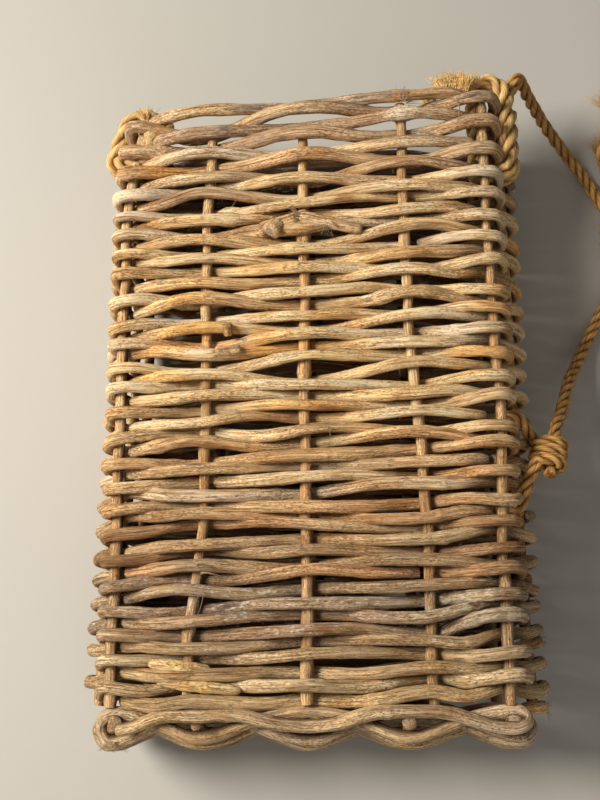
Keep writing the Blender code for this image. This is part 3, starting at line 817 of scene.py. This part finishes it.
def make_stakes():
    names = [f"front_stake_{n}" for n in range(1, 6)] + ["right_side_stake"]
    names += [f"back_stake_{n}" for n in range(1, 6)] + ["left_side_stake"]
    for index, (node, stake) in enumerate(zip(names, RING)):
        seed = 300 + index
        rng = np.random.default_rng(seed)
        top = RIM_HEIGHT - STAKE_TOP_SHORTFALL - (TOP_HIDDEN if index in HIDDEN_TOPS else 0.0)
        heights = np.linspace(BASE_TOP + CLEARANCE, top, STAKE_POINTS)
        sway_x = 0.0006 * smooth_noise(rng, heights, 0.19)
        sway_y = 0.0003 * smooth_noise(rng, heights, 0.15)
        if node in STAKE_BENDS:
            sway_x += np.interp(heights, *STAKE_BENDS[node])
        route = np.stack((stake["place"].x + sway_x, stake["place"].y + sway_y, heights), axis=1)
        tones, ages = rod_looks(rng, route)
        ages[:, 0] *= STAKE_BARK
        radii = rounded_ends(rod_radii(rng, route, STAKE_RADIUS * STAKE_SWELL))
        place_rod(node, "stake", in_row(settled(route)), radii,
                  (blend(tones, BROWN, STAKE_BROWN), ages), seed)


# How the old base lies: its sticks bow and bulge less evenly than its solids
BASE_BOW_SHARE = 0.45
LEFT_STICK_IN = 0.0065
BASE_LIFT = 0.0022
BASE_STEPS = 12
BASE_RAISE = 0.003
BASE_BULGE = 0.0055
# How steeply the base rod passes between two sticks and round the last one
BASE_SLOPE = 0.32
LOOP_SLOPE = 0.8
LOOP_REACH = 0.007
# How far the first row stands off each stick, as a share of the other rows
FRONT_WAVES = (0.62, 0.42, 0.38, 0.72, 0.62)
# The sticks whose front ends stop behind the first row, and the knotted ends of the others
SHORT_STICKS = (2, 3)
SHORT_BY = 0.0055
KNOT_BACK = 0.001
KNOT_SWELL = 0.5
KNOT_LENGTH = 0.007
KNOT_BARK = 0.25
STICK_BROWN = 0.4
STICK_POINTS = 60
STICK_RIPPLE = 0.06
STICK_END = (0.55, 0.88)


def stick_place(share, depth):
    bow = 0.0
    if abs(share) == 1.0:
        bow = share * SIDE_BULGE * BASE_BOW_SHARE * (1 - (depth / STICK_REACH) ** 2)
    if share == -1.0:
        bow += LEFT_STICK_IN * max(-depth / STICK_REACH, 0.0)
    return share * (STAKE_SPREAD / 2) + bow


def base_level(depth):
    """How far the base stands off its flat plane: up at its edges and down in its middle."""
    edge = min((2 * depth / BASE_DEPTH) ** 2, 1.0)
    return BASE_RAISE * edge - BASE_BULGE * (1 - edge)


def base_weave_route():
    """The base rod's smooth course to and fro under and over the sticks, standing."""
    passes = int(BASE_DEPTH / ROW_PITCH)
    knots = []
    for row in range(passes + 1):
        depth = BASE_DEPTH * row / passes - BASE_DEPTH / 2
        level = base_level(depth)
        heading = 1.0 if row % 2 == 0 else -1.0
        order = list(enumerate(BASE_STICK_SHARES))[::int(heading)]
        for place, (index, share) in enumerate(order):
            height = -BASE_REACH if (index + row) % 2 == 0 else BASE_REACH
            wave = FRONT_WAVES[index] if row == 0 else 1.0
            here = stick_place(share, depth)
            knots.append((Vector((here, depth, level + height * wave)),
                          Vector((heading, 0.0, 0.0))))
            if place < len(order) - 1:
                ahead = stick_place(order[place + 1][1], depth)
                knots.append((Vector(((here + ahead) / 2, depth, level + BASE_LIFT)),
                              Vector((heading, 0.0, -math.copysign(BASE_SLOPE, height)))))
            elif row < passes:
                half_way = depth + BASE_DEPTH / passes / 2
                bend = stick_place(share, half_way) + heading * LOOP_REACH
                knots.append((Vector((bend, half_way, level)),
                              Vector((0.0, 1.0, -math.copysign(LOOP_SLOPE, height)))))
    points = []
    for (place, way), (next_place, next_way) in zip(knots, knots[1:]):
        run = (next_place - place).length
        points += [on_curve(place, way * run, next_place, next_way * run, step / BASE_STEPS)
                   for step in range(BASE_STEPS)]
    return rows([*points, knots[-1][0]])


def make_base():
    for index, share in enumerate(BASE_STICK_SHARES, start=1):
        seed = 400 + index
        rng = np.random.default_rng(seed)
        short = SHORT_BY if index in SHORT_STICKS else KNOT_BACK
        depths = np.linspace(-STICK_REACH + short, STICK_REACH, STICK_POINTS)
        route = np.array([(stick_place(share, depth), depth, base_level(depth))
                          for depth in depths])
        tones, ages = rod_looks(rng, route)
        ends = near(depths, -STICK_REACH, KNOT_LENGTH)
        tones = blend(blend(tones, BROWN, STICK_BROWN), UMBER, ends)
        ages[:, 0] += KNOT_BARK * ends
        radii = rod_radii(rng, route, STICK_RADIUS)
        radii = radii * (1 + KNOT_SWELL * ends * (index not in SHORT_STICKS))
        place_rod(f"base_stick_{index}", "base", in_row(route), rounded_ends(radii, STICK_END),
                  (tones, ages), seed, STICK_RIPPLE)

    seed = 450
    route = base_weave_route()
    rng = np.random.default_rng(seed)
    looks = rod_looks(rng, route)
    place_rod("base_weaving", "base", in_row(route),
              rounded_ends(rod_radii(rng, route, ROD_RADIUS)), looks, seed,
              node="base_weaving_rod")


ROPE_STEP = 0.0018
CURVE_STEPS = 24


def smooth_route(points):
    """Points at an even spacing on the smooth curve through all but the outer two points."""
    fine = []
    for before, start, end, after in zip(points, points[1:], points[2:], points[3:]):
        for step in range(CURVE_STEPS):
            t = step / CURVE_STEPS
            fine.append(((2 * start) + (end - before) * t
                         + (2 * before - 5 * start + 4 * end - after) * t * t
                         + (3 * start - before - 3 * end + after) * t ** 3) / 2)
    places = rows([*fine, points[-2]])
    along = lengths_along(places)
    even = np.linspace(0.0, along[-1], max(2, round(along[-1] / ROPE_STEP)) + 1)
    return rows([Vector(np.interp(target, along, places[:, axis]) for axis in range(3))
                 for target in even])


def smooth_through(points):
    """The smooth route through all of the points."""
    return smooth_route([points[0] * 2 - points[1], *points, points[-1] * 2 - points[-2]])


def gap_in_wall(break_crossing, lag):
    middle = break_crossing + BETWEEN_STAKES - lag
    low, high = row_height(middle - HALF_TURN), row_height(middle + HALF_TURN)
    return (low + high) / 2, high - low - 2 * ROD_RADIUS


def strand_radius(free_height):
    return min(ROPE_RADIUS, free_height / 2 - CLEARANCE)


def wall_frame(gap_index):
    start, end = RING[gap_index]["place"], RING[(gap_index + 1) % STAKES]["place"]
    along = (end - start).normalized()
    return (start + end) / 2, along, Vector((along.y, -along.x)), (end - start).length


def strand_room(radius, side_step, gap_length):
    slope = 2 * REACH / (gap_length - CROSSING_LENGTH)
    clear = radius + ROD_RADIUS + ROPE_SPACE
    drift = side_step * slope
    offset = clear * math.hypot(1.0, slope) + drift
    return offset, math.sqrt((offset - clear) ** 2 - drift ** 2)


def wall_point(wall, offset, height, side):
    middle, along, out, _ = wall
    flat = middle + out * offset + along * side
    return Vector((flat.x, flat.y, height))


def bend_diagonal():
    return HITCH_BEND_RADIUS * (1 - math.cos(math.pi / 4))


def rim_hitch_points(gap_index, wall_break, lag, top_crossing, exit_rise):
    """Two turns of rope over the rim and through the wall, standing."""
    wall = wall_frame(gap_index)
    level, free = gap_in_wall(wall_break, lag)
    radius = strand_radius(free)
    side = radius + CLEARANCE
    offset, room = strand_room(radius, side, wall[3])
    sag = offset * (1 - math.cos(math.pi / ARC_STEPS / 2))
    tilt = 2 * (RIM_WAVE + RIM_PITCH / STAKES) * side / (wall[3] - CROSSING_LENGTH)
    crown = row_height(top_crossing) - room + sag + tilt
    bend, diagonal = HITCH_BEND_RADIUS, bend_diagonal()

    def through(at):
        return [wall_point(wall, *spot, at) for spot in (
            (-offset, level + bend), (-offset + diagonal, level + diagonal),
            (-offset + bend, level), (offset - bend, level),
            (offset - diagonal, level + diagonal), (offset, level + bend))]

    points = [wall_point(wall, -offset, level + HITCH_RISE, -side), *through(-side),
              wall_point(wall, offset, crown, -side)]
    for step in range(1, ARC_STEPS):
        angle = math.pi * step / ARC_STEPS
        points.append(wall_point(wall, offset * math.cos(angle),
                                 crown + offset * math.sin(angle),
                                 side * -math.cos(max(2 * angle - math.pi, 0.0))))
    points += [wall_point(wall, -offset, crown, side), *through(side),
               wall_point(wall, offset, crown + exit_rise, side)]
    return points, radius


def turns_round(centre, axis, start, radius, pitch, turns):
    axis = axis.normalized()
    first = (start - axis * start.dot(axis)).normalized()
    second = axis.cross(first)
    points = []
    for step in range(round(turns * POINTS_PER_TURN) + 1):
        angle = 2 * math.pi * step / POINTS_PER_TURN
        rise = pitch * (step / POINTS_PER_TURN - turns / 2)
        points.append(centre + axis * rise
                      + (first * math.cos(angle) + second * math.sin(angle)) * radius)
    return points


def collar_axis():
    return (standing(COLLAR_AXIS) - standing((0, 0, 0))).normalized()


def side_hitch_points():
    """The collar that holds the rope's lower end, with both ends tucked into the wall."""
    wall = wall_frame(RIGHT_GAP)
    high, free = gap_in_wall(SIDE_HITCH_BREAKS[0], 0)
    low, _ = gap_in_wall(SIDE_HITCH_BREAKS[1], 0)
    radius = strand_radius(free)
    offset, _ = strand_room(radius, 0.0, wall[3])
    bend, diagonal = HITCH_BEND_RADIUS, bend_diagonal()
    centre, axis = standing(COLLAR_CENTRE), collar_axis()
    reach, pitch = ROPE_RADIUS + radius + CLEARANCE, 2 * radius + ROPE_SPACE
    from_hole = wall_point(wall, offset, high, 0.0) - centre + axis * pitch * COLLAR_TURNS / 2
    from_hole -= axis * from_hole.dot(axis)
    tangent_start = Quaternion(axis, math.acos(reach / from_hole.length)) @ from_hole
    collar = turns_round(centre, axis, tangent_start, reach, pitch, COLLAR_TURNS)
    inner = [wall_point(wall, *spot, 0.0) for spot in (
        (-offset, high - HITCH_RISE / 2), (-offset, high - bend),
        (-offset + diagonal, high - diagonal), (-offset + bend, high), (offset, high))]
    outer = [wall_point(wall, *spot, 0.0) for spot in (
        (offset, low + bend), (offset - diagonal, low + diagonal), (offset - bend, low),
        (-offset + bend, low), (-offset + diagonal, low + diagonal), (-offset, low + bend),
        (-offset, low + HITCH_RISE / 2))]
    return inner + collar + outer, radius


# How the rope is laid
STRAND_COUNT = 3
STRAND_LAY = 0.03
STRAND_SHARE = 0.49
STRAND_OFFSET_SHARE = 0.54
STRAND_SIDES = 10
YARN_LAY_SHARE = 0.8
# The painted shade in the grooves between the strands, and where it gives way
GROOVE_SHADE = np.array((0.44, 0.32, 0.2))
GROOVE_REACH = 0.1
GROOVE_FADE = 0.8


def frames_along(points):
    """Two directions square to the line at each point, which turn as little as they can."""
    tangents = np.gradient(points, axis=0)
    tangents /= np.linalg.norm(tangents, axis=1)[:, None]
    normal = np.cross(tangents[0], (0.0, 0.0, 1.0) if abs(tangents[0][2]) < 0.9 else (1.0, 0, 0))
    normals = []
    for tangent in tangents:
        normal = normal - tangent * np.dot(normal, tangent)
        normal /= np.linalg.norm(normal)
        normals.append(normal)
    normals = np.array(normals)
    return tangents, normals, np.cross(tangents, normals)


def rope_meshes(name, line, radius, seed, finish):
    """Three strands twisted round a line of the frame, as separate tubes."""
    along = lengths_along(line)
    _, normals, binormals = frames_along(line)
    lay = STRAND_LAY * radius / ROPE_RADIUS
    sides = 2 * np.pi * np.arange(STRAND_SIDES) / STRAND_SIDES
    meshes = []
    for strand in range(STRAND_COUNT):
        rng = np.random.default_rng(seed + strand)
        turn = 2 * np.pi * (along / lay + strand / STRAND_COUNT)
        out = normals * np.cos(turn)[:, None] + binormals * np.sin(turn)[:, None]
        centre = line + out * radius * STRAND_OFFSET_SHARE
        radii = radius * STRAND_SHARE * (1 + 0.05 * smooth_noise(rng, along, 0.05))
        mesh = sweep(f"{name}_{strand}", [centre], [radii], STRAND_SIDES)
        twist = sides[None, :] + 2 * np.pi * along[:, None] / (lay * YARN_LAY_SHARE)
        store_grain(mesh, seed * 1.3 + strand * 2.1 + along, radius * STRAND_SHARE, twist)
        # Painted shade in the grooves, on the sides of each strand that face into the rope
        outward = facing(ring_points(mesh, STRAND_SIDES), centre, radii, out)
        store(mesh, "tone",
              GROOVE_SHADE + (1 - GROOVE_SHADE) * unit((outward + GROOVE_REACH) / GROOVE_FADE))
        mesh.materials.append(finish)
        close_ends(mesh)
        meshes.append(mesh)
    return meshes


FIBRE_RINGS = 6
FIBRE_SIDES = 4
FIBRE_TAPER = 0.6
FUZZ_REACH = 0.0016
FUZZ_LENGTH = 0.009
FUZZ_RADIUS = 0.00011
# Where on the rope's radius its fuzz starts, and how far behind its root a tuft does
FUZZ_ROOT = 0.92
TUFT_ROOT = 0.002
RIM_FIBRE = 0.00038
TAIL_FIBRE = 0.00016
RATTAN_FIBRE = 0.00022


def fibres_mesh(name, starts, directions, bends, radius, finish):
    """Loose fibres as thin four-sided tubes that taper to their tips."""
    t = np.linspace(0.0, 1.0, FIBRE_RINGS)[:, None]
    lines = [start + direction * t + bend * t ** 2
             for start, direction, bend in zip(starts, directions, bends)]
    sizes = radius * (1 - FIBRE_TAPER * t[:, 0])
    mesh = sweep(name, lines, [sizes] * len(lines), FIBRE_SIDES)
    store(mesh, "grain", np.repeat(np.concatenate(lines), FIBRE_SIDES, axis=0))
    store(mesh, "tone", np.ones((len(mesh.vertices), 3)))
    mesh.materials.append(finish)
    close_ends(mesh)
    return mesh


def fuzz(name, line, radius, count, seed):
    """Fibres that stand off the rope all along it."""
    rng = np.random.default_rng(seed)
    tangents, normals, binormals = frames_along(line)
    starts, directions, bends = [], [], []
    for _ in range(count):
        index = rng.integers(2, len(line) - 2)
        turn = rng.uniform(0, 2 * np.pi)
        out = normals[index] * math.cos(turn) + binormals[index] * math.sin(turn)
        side = np.cross(tangents[index], out)
        starts.append(line[index] + out * radius * FUZZ_ROOT)
        flow = rng.choice((-1.0, 1.0))
        directions.append(tangents[index] * flow * rng.uniform(0.3, 1.0) * FUZZ_LENGTH
                          + out * rng.uniform(0.2, 1.0) * FUZZ_REACH
                          + side * rng.normal(0.0, 0.3) * FUZZ_REACH)
        bends.append(side * rng.normal(0.0, 0.6) * FUZZ_REACH
                     - out * rng.uniform(-0.2, 0.5) * FUZZ_REACH)
    return fibres_mesh(name, starts, directions, bends, FUZZ_RADIUS, ROPE)


def tuft(name, shape, seed, radius, finish):
    """A frayed end: fibres that fan out from a root."""
    root, heading, count, length, spread, width = shape
    rng = np.random.default_rng(seed)
    heading = np.array(heading, dtype=float)
    heading /= np.linalg.norm(heading)
    first = np.cross(heading, (0.0, 0.0, 1.0) if abs(heading[2]) < 0.9 else (1.0, 0.0, 0.0))
    first /= np.linalg.norm(first)
    second = np.cross(heading, first)
    starts, directions, bends = [], [], []
    for _ in range(count):
        turn, off = rng.uniform(0, 2 * np.pi), math.sqrt(rng.uniform()) * width
        out = first * math.cos(turn) + second * math.sin(turn)
        starts.append(np.array(root) + out * off - heading * TUFT_ROOT)
        size = length * rng.uniform(0.55, 1.1)
        directions.append(heading * size + out * size * spread * off / width)
        bends.append((first * rng.normal() + second * rng.normal()) * size * spread * 0.5)
    return fibres_mesh(name, starts, directions, bends, radius, finish)


# How much thicker the loose rope of a hitch is, how far its inner and its outer leg stand off
# the wall and how far its top stands off the rim
HITCH_SWELL = 1.36
COLLAR_SWELL = 1.12
LEFT_LEGS = (0.002, 0.0072, 0.011)
RIGHT_LEGS = (0.0005, 0.003, 0.0155)
LEG_WIDTH = 0.012
LEG_HEIGHT = 0.02
# Frayed rope at the left hitch and at the right: root, way, count, length, spread and width
RIM_TUFTS = (
    ((-0.114, 0.211, 0.086), (-0.1, 1.0, 0.2), 90, 0.0085, 0.6, 0.0025),
    ((0.113, 0.218, 0.088), (0.05, 1.0, 0.3), 620, 0.0165, 0.32, 0.0062),
    ((0.1045, 0.2195, 0.086), (-0.05, 0.95, 0.3), 560, 0.0165, 0.32, 0.0058),
    ((0.0905, 0.2165, 0.084), (-0.25, 0.9, 0.2), 240, 0.011, 0.4, 0.0036),
)
# The rings at a tail's end whose strands have come apart, and the tuft there
TAIL_FRAY = 3
TAIL_TUFT = (90, 0.016, 0.5, 0.004)


def place_rope(node, line, radius, fuzz_count, seed, finish=ROPE, extra=(), frayed=0, name=None):
    """A rope on a line of the frame: its strands, its fuzz and what else it carries."""
    name = name or node + "_rope"
    meshes = [*rope_meshes(node, line[:len(line) - frayed], radius, seed, finish),
              fuzz(node + "_fuzz", line, radius, fuzz_count, seed), *extra]
    return place_piece(name, join(name, meshes), "rope", node)


def make_hitch(node, points, radius, seed, finish=ROPE, legs=(0.0, 0.0, 0.0), extra=()):
    """A rope winding, from its points of the standing basket."""
    line = smooth_through(points)
    inner = unit((STAKE_SPREAD / 2 + LEG_WIDTH - np.abs(line[:, 0])) / LEG_WIDTH)
    above = unit((line[:, 2] - line[:, 2].max()) / LEG_HEIGHT + 1.0)
    line = settled(line)
    line[:, 0] += np.sign(line[:, 0]) * (legs[1] * (1 - inner) - legs[0] * inner * above)
    along = lengths_along(line)
    line[:, 2] += legs[2] * above * unit((along[-1] - along) / LEG_HEIGHT)
    swell = HITCH_SWELL if any(legs) else COLLAR_SWELL
    return place_rope(node, in_row(line), radius * swell, 70, seed, finish, extra)


def make_ropes():
    tufts = [tuft(f"rim_tuft_{index}", shape, 529 + index, RIM_FIBRE, FRAYED)
             for index, shape in enumerate(RIM_TUFTS)]
    left, left_radius = rim_hitch_points(LEFT_GAP, LEFT_HITCH_BREAK, HALF_TURN,
                                         LEFT_HITCH_BREAK + STAKES + BETWEEN_STAKES, 0.0)
    make_hitch("left_rim_hitch", left, left_radius, 500, PALE_LIT_ROPE, LEFT_LEGS, tufts[:1])
    right_top = RIGHT_HITCH_BREAK + RIM_TURNS * STAKES + BETWEEN_STAKES - HALF_TURN
    right, right_radius = rim_hitch_points(RIGHT_GAP, RIGHT_HITCH_BREAK, 0, right_top,
                                           HITCH_EXIT_RISE)
    right_hitch = make_hitch("right_rim_hitch", right, right_radius, 520, PALE_LIT_ROPE, RIGHT_LEGS,
                             tufts[1:])
    side_hitch = make_hitch("side_hitch", *side_hitch_points(), 540)

    around = [Vector(ROPE_ROUTE[KNOT_ROUTE_INDEX + step]) for step in (-1, 0, 1)]
    knot_axis = (around[2] - around[0]).normalized()
    winding = turns_round(around[1], knot_axis, Vector((-1.0, 0.0, 0.0)),
                          ROPE_RADIUS * 2 + KNOT_SPACE, ROPE_RADIUS * 2 + ROPE_SPACE, KNOT_TURNS)
    knot = place_rope("rope_knot", smooth_through(winding), ROPE_RADIUS, 60, 560)

    for index, (step, tail_route) in enumerate(zip(TAIL_STEPS, TAIL_ROUTES), start=1):
        tangent = (winding[step + 1] - winding[step - 1]).normalized()
        leave = (tangent * knot_axis.dot(tangent) - knot_axis).normalized()
        seat = winding[step] + leave * (ROPE_RADIUS + ROPE_SPACE)
        points = [seat, seat + leave * ROPE_RADIUS * 2, *[Vector(p) for p in tail_route]]
        line = rows([seat, *smooth_route(points), points[-1]])
        root, heading = line[-2 - TAIL_FRAY], line[-1] - line[-1 - TAIL_FRAY]
        frayed = tuft(f"tail_tuft_{index}", (root, heading, *TAIL_TUFT), 590 + index,
                      TAIL_FIBRE, ROPE)
        place_rope(f"rope_tail_{index}", line, ROPE_RADIUS, 60, 580 + 20 * index,
                                extra=[frayed], frayed=TAIL_FRAY)

    heading = (right[-1] - right[-2]).normalized()
    start = right[-1] + heading * CLEARANCE
    collar, axis = standing(COLLAR_CENTRE), collar_axis()
    route = [start, start + heading * ROPE_RADIUS * 2, *map(standing, ROPE_ROUTE)]
    route += [collar - axis * ROPE_RADIUS * 4, collar, collar + axis * ROPE_RADIUS * 4]
    line = in_row(rows([start, *smooth_route(route), route[-1]]))
    rope = place_rope("rope", line, ROPE_RADIUS, 480, 600, name="rope_free")


# Cut and broken rod ends that stand proud: start, end, a radius at each and the colour
CUT_ENDS = (
    ((0.004, 0.123, 0.1075), (-0.03, 0.1125, 0.1075), 0.0052, 0.0052, BRANCH),
    ((-0.0165, 0.117, 0.108), (-0.0222, 0.1088, 0.1135), 0.0054, 0.0066, BRANCH),
    ((0.04, 0.1115, 0.1065), (-0.003, 0.121, 0.1105), 0.004, 0.0046, BRANCH),
    ((-0.1135, 0.169, 0.099), (-0.1055, 0.192, 0.104), 0.0042, 0.006, TAN),
    ((-0.0502, 0.0385, 0.1075), (-0.0506, 0.0452, 0.112), 0.003, 0.004, BROWN),
    ((-0.042, 0.029, 0.108), (-0.059, 0.027, 0.1105), 0.0038, 0.0032, BRANCH),
    ((0.13, -0.119, 0.06), (0.1465, -0.1209, 0.062), 0.0041, 0.0041, TAN),
    ((0.13, -0.126, 0.06), (0.146, -0.1265, 0.061), 0.0037, 0.0037, BROWN),
    ((0.131, -0.166, 0.06), (0.15, -0.159, 0.064), 0.0042, 0.0046, BROWN),
    ((0.134, -0.1915, 0.061), (0.153, -0.1903, 0.063), 0.0042, 0.0042, PALE),
    ((0.134, -0.203, 0.061), (0.1515, -0.201, 0.062), 0.004, 0.0042, TAN),
)
END_PROFILE = (0.5, 0.78, 0.93)
END_PLACES = np.concatenate(((0.0, 0.03, 0.08), np.linspace(0.15, 0.85, 8), (0.92, 0.97, 1.0)))
END_RIPPLE = 0.05
# The shares of bark and of pale spots on cut ends and on torn stretches
END_AGE = (0.16, 0.08, 0.0)
TORN_AGE = (0.1, 0.02, 0.0)
# Torn pale stretches of rod over the second stake: start and end in the frame
TORN_STRETCHES = (
    ((-0.099, -0.1725, 0.103), (-0.061, -0.1765, 0.1025)),
    ((-0.093, -0.1835, 0.103), (-0.042, -0.1895, 0.103)),
)
TORN_POINTS = 40
TORN_RISE = 0.0056
TORN_SHADE = 0.85
TORN_WIDTH = 0.26
# Frayed rattan: root, way, count, length, spread and width
RATTAN_TUFTS = (
    ((-0.004, 0.1205, 0.111), (-0.9, 0.1, 0.25), 44, 0.008, 0.8, 0.0035),
    ((0.018, 0.112, 0.1115), (0.3, -1.0, 0.3), 22, 0.006, 0.8, 0.004),
    ((-0.1055, 0.192, 0.105), (-0.2, 1.0, 0.3), 16, 0.005, 0.7, 0.003),
    ((0.072, 0.206, 0.11), (0.8, 1.0, 0.4), 34, 0.008, 1.0, 0.0035),
    ((-0.059, 0.027, 0.1105), (-1.0, 0.0, 0.2), 18, 0.004, 0.8, 0.0025),
    ((-0.1224, -0.2215, 0.099), (0.0, -1.0, 0.0), 22, 0.006, 0.9, 0.004),
    ((0.127, -0.219, 0.099), (0.2, -1.0, 0.0), 18, 0.006, 0.9, 0.004),
    ((0.15, -0.1595, 0.064), (1.0, 0.2, 0.0), 18, 0.005, 0.8, 0.003),
    ((0.152, -0.2014, 0.062), (1.0, -0.3, 0.0), 12, 0.005, 0.8, 0.003),
)
# Single strips of bast: start, middle and end in the frame, and radius
BAST_STRIPS = (
    ((0.1038, 0.205, 0.109), (0.108, 0.1965, 0.115), (0.1068, 0.187, 0.11), 0.00055),
    ((0.01, -0.022, 0.111), (0.0165, -0.03, 0.1145), (0.014, -0.039, 0.11), 0.00025),
    ((-0.0637, -0.128, 0.112), (-0.065, -0.138, 0.115), (-0.0691, -0.1466, 0.112), 0.00028),
    ((-0.06, -0.126, 0.112), (-0.068, -0.134, 0.1145), (-0.07, -0.144, 0.111), 0.00022),
    ((-0.0722, -0.173, 0.112), (-0.076, -0.183, 0.115), (-0.0845, -0.19, 0.111), 0.00028),
    ((-0.048, 0.129, 0.112), (-0.044, 0.133, 0.117), (-0.045, 0.137, 0.115), 0.00022),
    ((-0.069, -0.113, 0.111), (-0.064, -0.112, 0.116), (-0.057, -0.116, 0.111), 0.0008),
    ((-0.066, -0.118, 0.111), (-0.061, -0.118, 0.115), (-0.053, -0.12, 0.111), 0.0007),
    ((0.116, -0.052, 0.111), (0.126, -0.058, 0.115), (0.137, -0.063, 0.111), 0.0002),
)
# Short strips of bast strewn over the front: how many, their radius and the height they lie at
LOOSE_STRIPS = 46
LOOSE_RADIUS = 0.00015
LOOSE_LEVEL = 0.1095


def make_details():
    """Cut ends, frayed ends and strips of bast that stand off the weave."""
    meshes = []
    for index, (start, end, first, last, colour) in enumerate(CUT_ENDS):
        seed = 700 + index
        rng = np.random.default_rng(seed)
        t = END_PLACES
        line = np.array(start) + (np.array(end) - np.array(start)) * t[:, None]
        looks = np.outer(1 + 0.1 * rng.normal(size=len(t)), colour), np.tile(END_AGE, (len(t), 1))
        radii = rounded_ends(first + (last - first) * t ** 2, END_PROFILE)
        meshes.append(rod_mesh(f"cut_end_{index}", line, radii, looks, seed, END_RIPPLE))
    for index, (start, end) in enumerate(TORN_STRETCHES):
        seed = 720 + index
        rng = np.random.default_rng(seed)
        t = np.linspace(0.0, 1.0, TORN_POINTS)
        arch = np.sin(math.pi * t)
        line = np.array(start) + (np.array(end) - np.array(start)) * t[:, None]
        line[:, 2] += TORN_RISE * arch
        tones = blend(TAN * TORN_SHADE, SCAR, near(t, 0.5, TORN_WIDTH))
        radii = ROD_RADIUS * (0.5 + 0.5 * arch ** 0.4) * (1 + 0.04 * smooth_noise(rng, t, 0.5))
        meshes.append(rod_mesh(f"torn_{index}", line, radii,
                               (tones, np.tile(TORN_AGE, (len(t), 1))), seed))
    place_piece("cut_rod_ends", join("cut_rod_ends", meshes), "rod")

    rng = np.random.default_rng(760)
    meshes = [tuft(f"rattan_tuft_{index}", shape, 740 + index, RATTAN_FIBRE, CUT)
              for index, shape in enumerate(RATTAN_TUFTS)]
    for index, (start, middle, end, radius) in enumerate(BAST_STRIPS):
        start, middle, end = (np.array(point) for point in (start, middle, end))
        meshes.append(fibres_mesh(f"bast_{index}", [start], [4 * middle - 3 * start - end],
                                  [2 * start + 2 * end - 4 * middle], radius, CUT))
    starts, ways, bends = [], [], []
    for _ in range(LOOSE_STRIPS):
        starts.append(np.array(
            (rng.uniform(-0.115, 0.125), rng.uniform(-0.205, 0.195), LOOSE_LEVEL)))
        turn, size = rng.uniform(0, 2 * math.pi), rng.uniform(0.005, 0.011)
        ways.append(np.array(
            (math.cos(turn), 0.6 * math.sin(turn), rng.uniform(0.05, 0.35))) * size)
        bends.append(np.array((rng.normal(), rng.normal(), -1.0)) * 0.3 * size)
    meshes.append(fibres_mesh("loose_strips", starts, ways, bends, LOOSE_RADIUS, CUT))
    place_piece("loose_bast", join("loose_bast", meshes), "rod")


def lay_floor():
    """A plain pale floor."""
    mesh = bpy.data.meshes.new("floor")
    shape = bmesh.new()
    bmesh.ops.create_grid(shape, x_segments=1, y_segments=1, size=4.0)
    shape.to_mesh(mesh)
    shape.free()
    floor = add_object("floor", mesh)
    look = Look("floor_paint")
    look.set(Base_Color=(0.47, 0.445, 0.395), Roughness=0.75)
    mesh.materials.append(look.material)


def hang_light(name, place, size, power, colour):
    """A round soft light that is aimed at the basket."""
    light = bpy.data.lights.new(name, "AREA")
    light.shape = "DISK"
    light.size = size
    light.energy = power
    light.color = colour
    lamp = add_object(name, light)
    lamp.location = place
    aim = Vector((0.0, 0.0, 0.05)) - Vector(place)
    lamp.rotation_euler = aim.to_track_quat("-Z", "Y").to_euler()


make_wall_rods()
make_stakes()
make_base()
make_ropes()
make_details()

lay_floor()
hang_light("window_light", (-1.05, 0.21, 1.25), 0.72, 37.5, (1.0, 0.955, 0.885))
hang_light("fill_light", (0.3, -1.3, 1.2), 1.6, 4.6, (1.0, 0.97, 0.93))
world = bpy.data.worlds.new("soft_room")
world.use_nodes = True
world.node_tree.nodes["Background"].inputs["Color"].default_value = (1.0, 0.98, 0.95, 1.0)
world.node_tree.nodes["Background"].inputs["Strength"].default_value = 0.15
bpy.context.scene.world = world
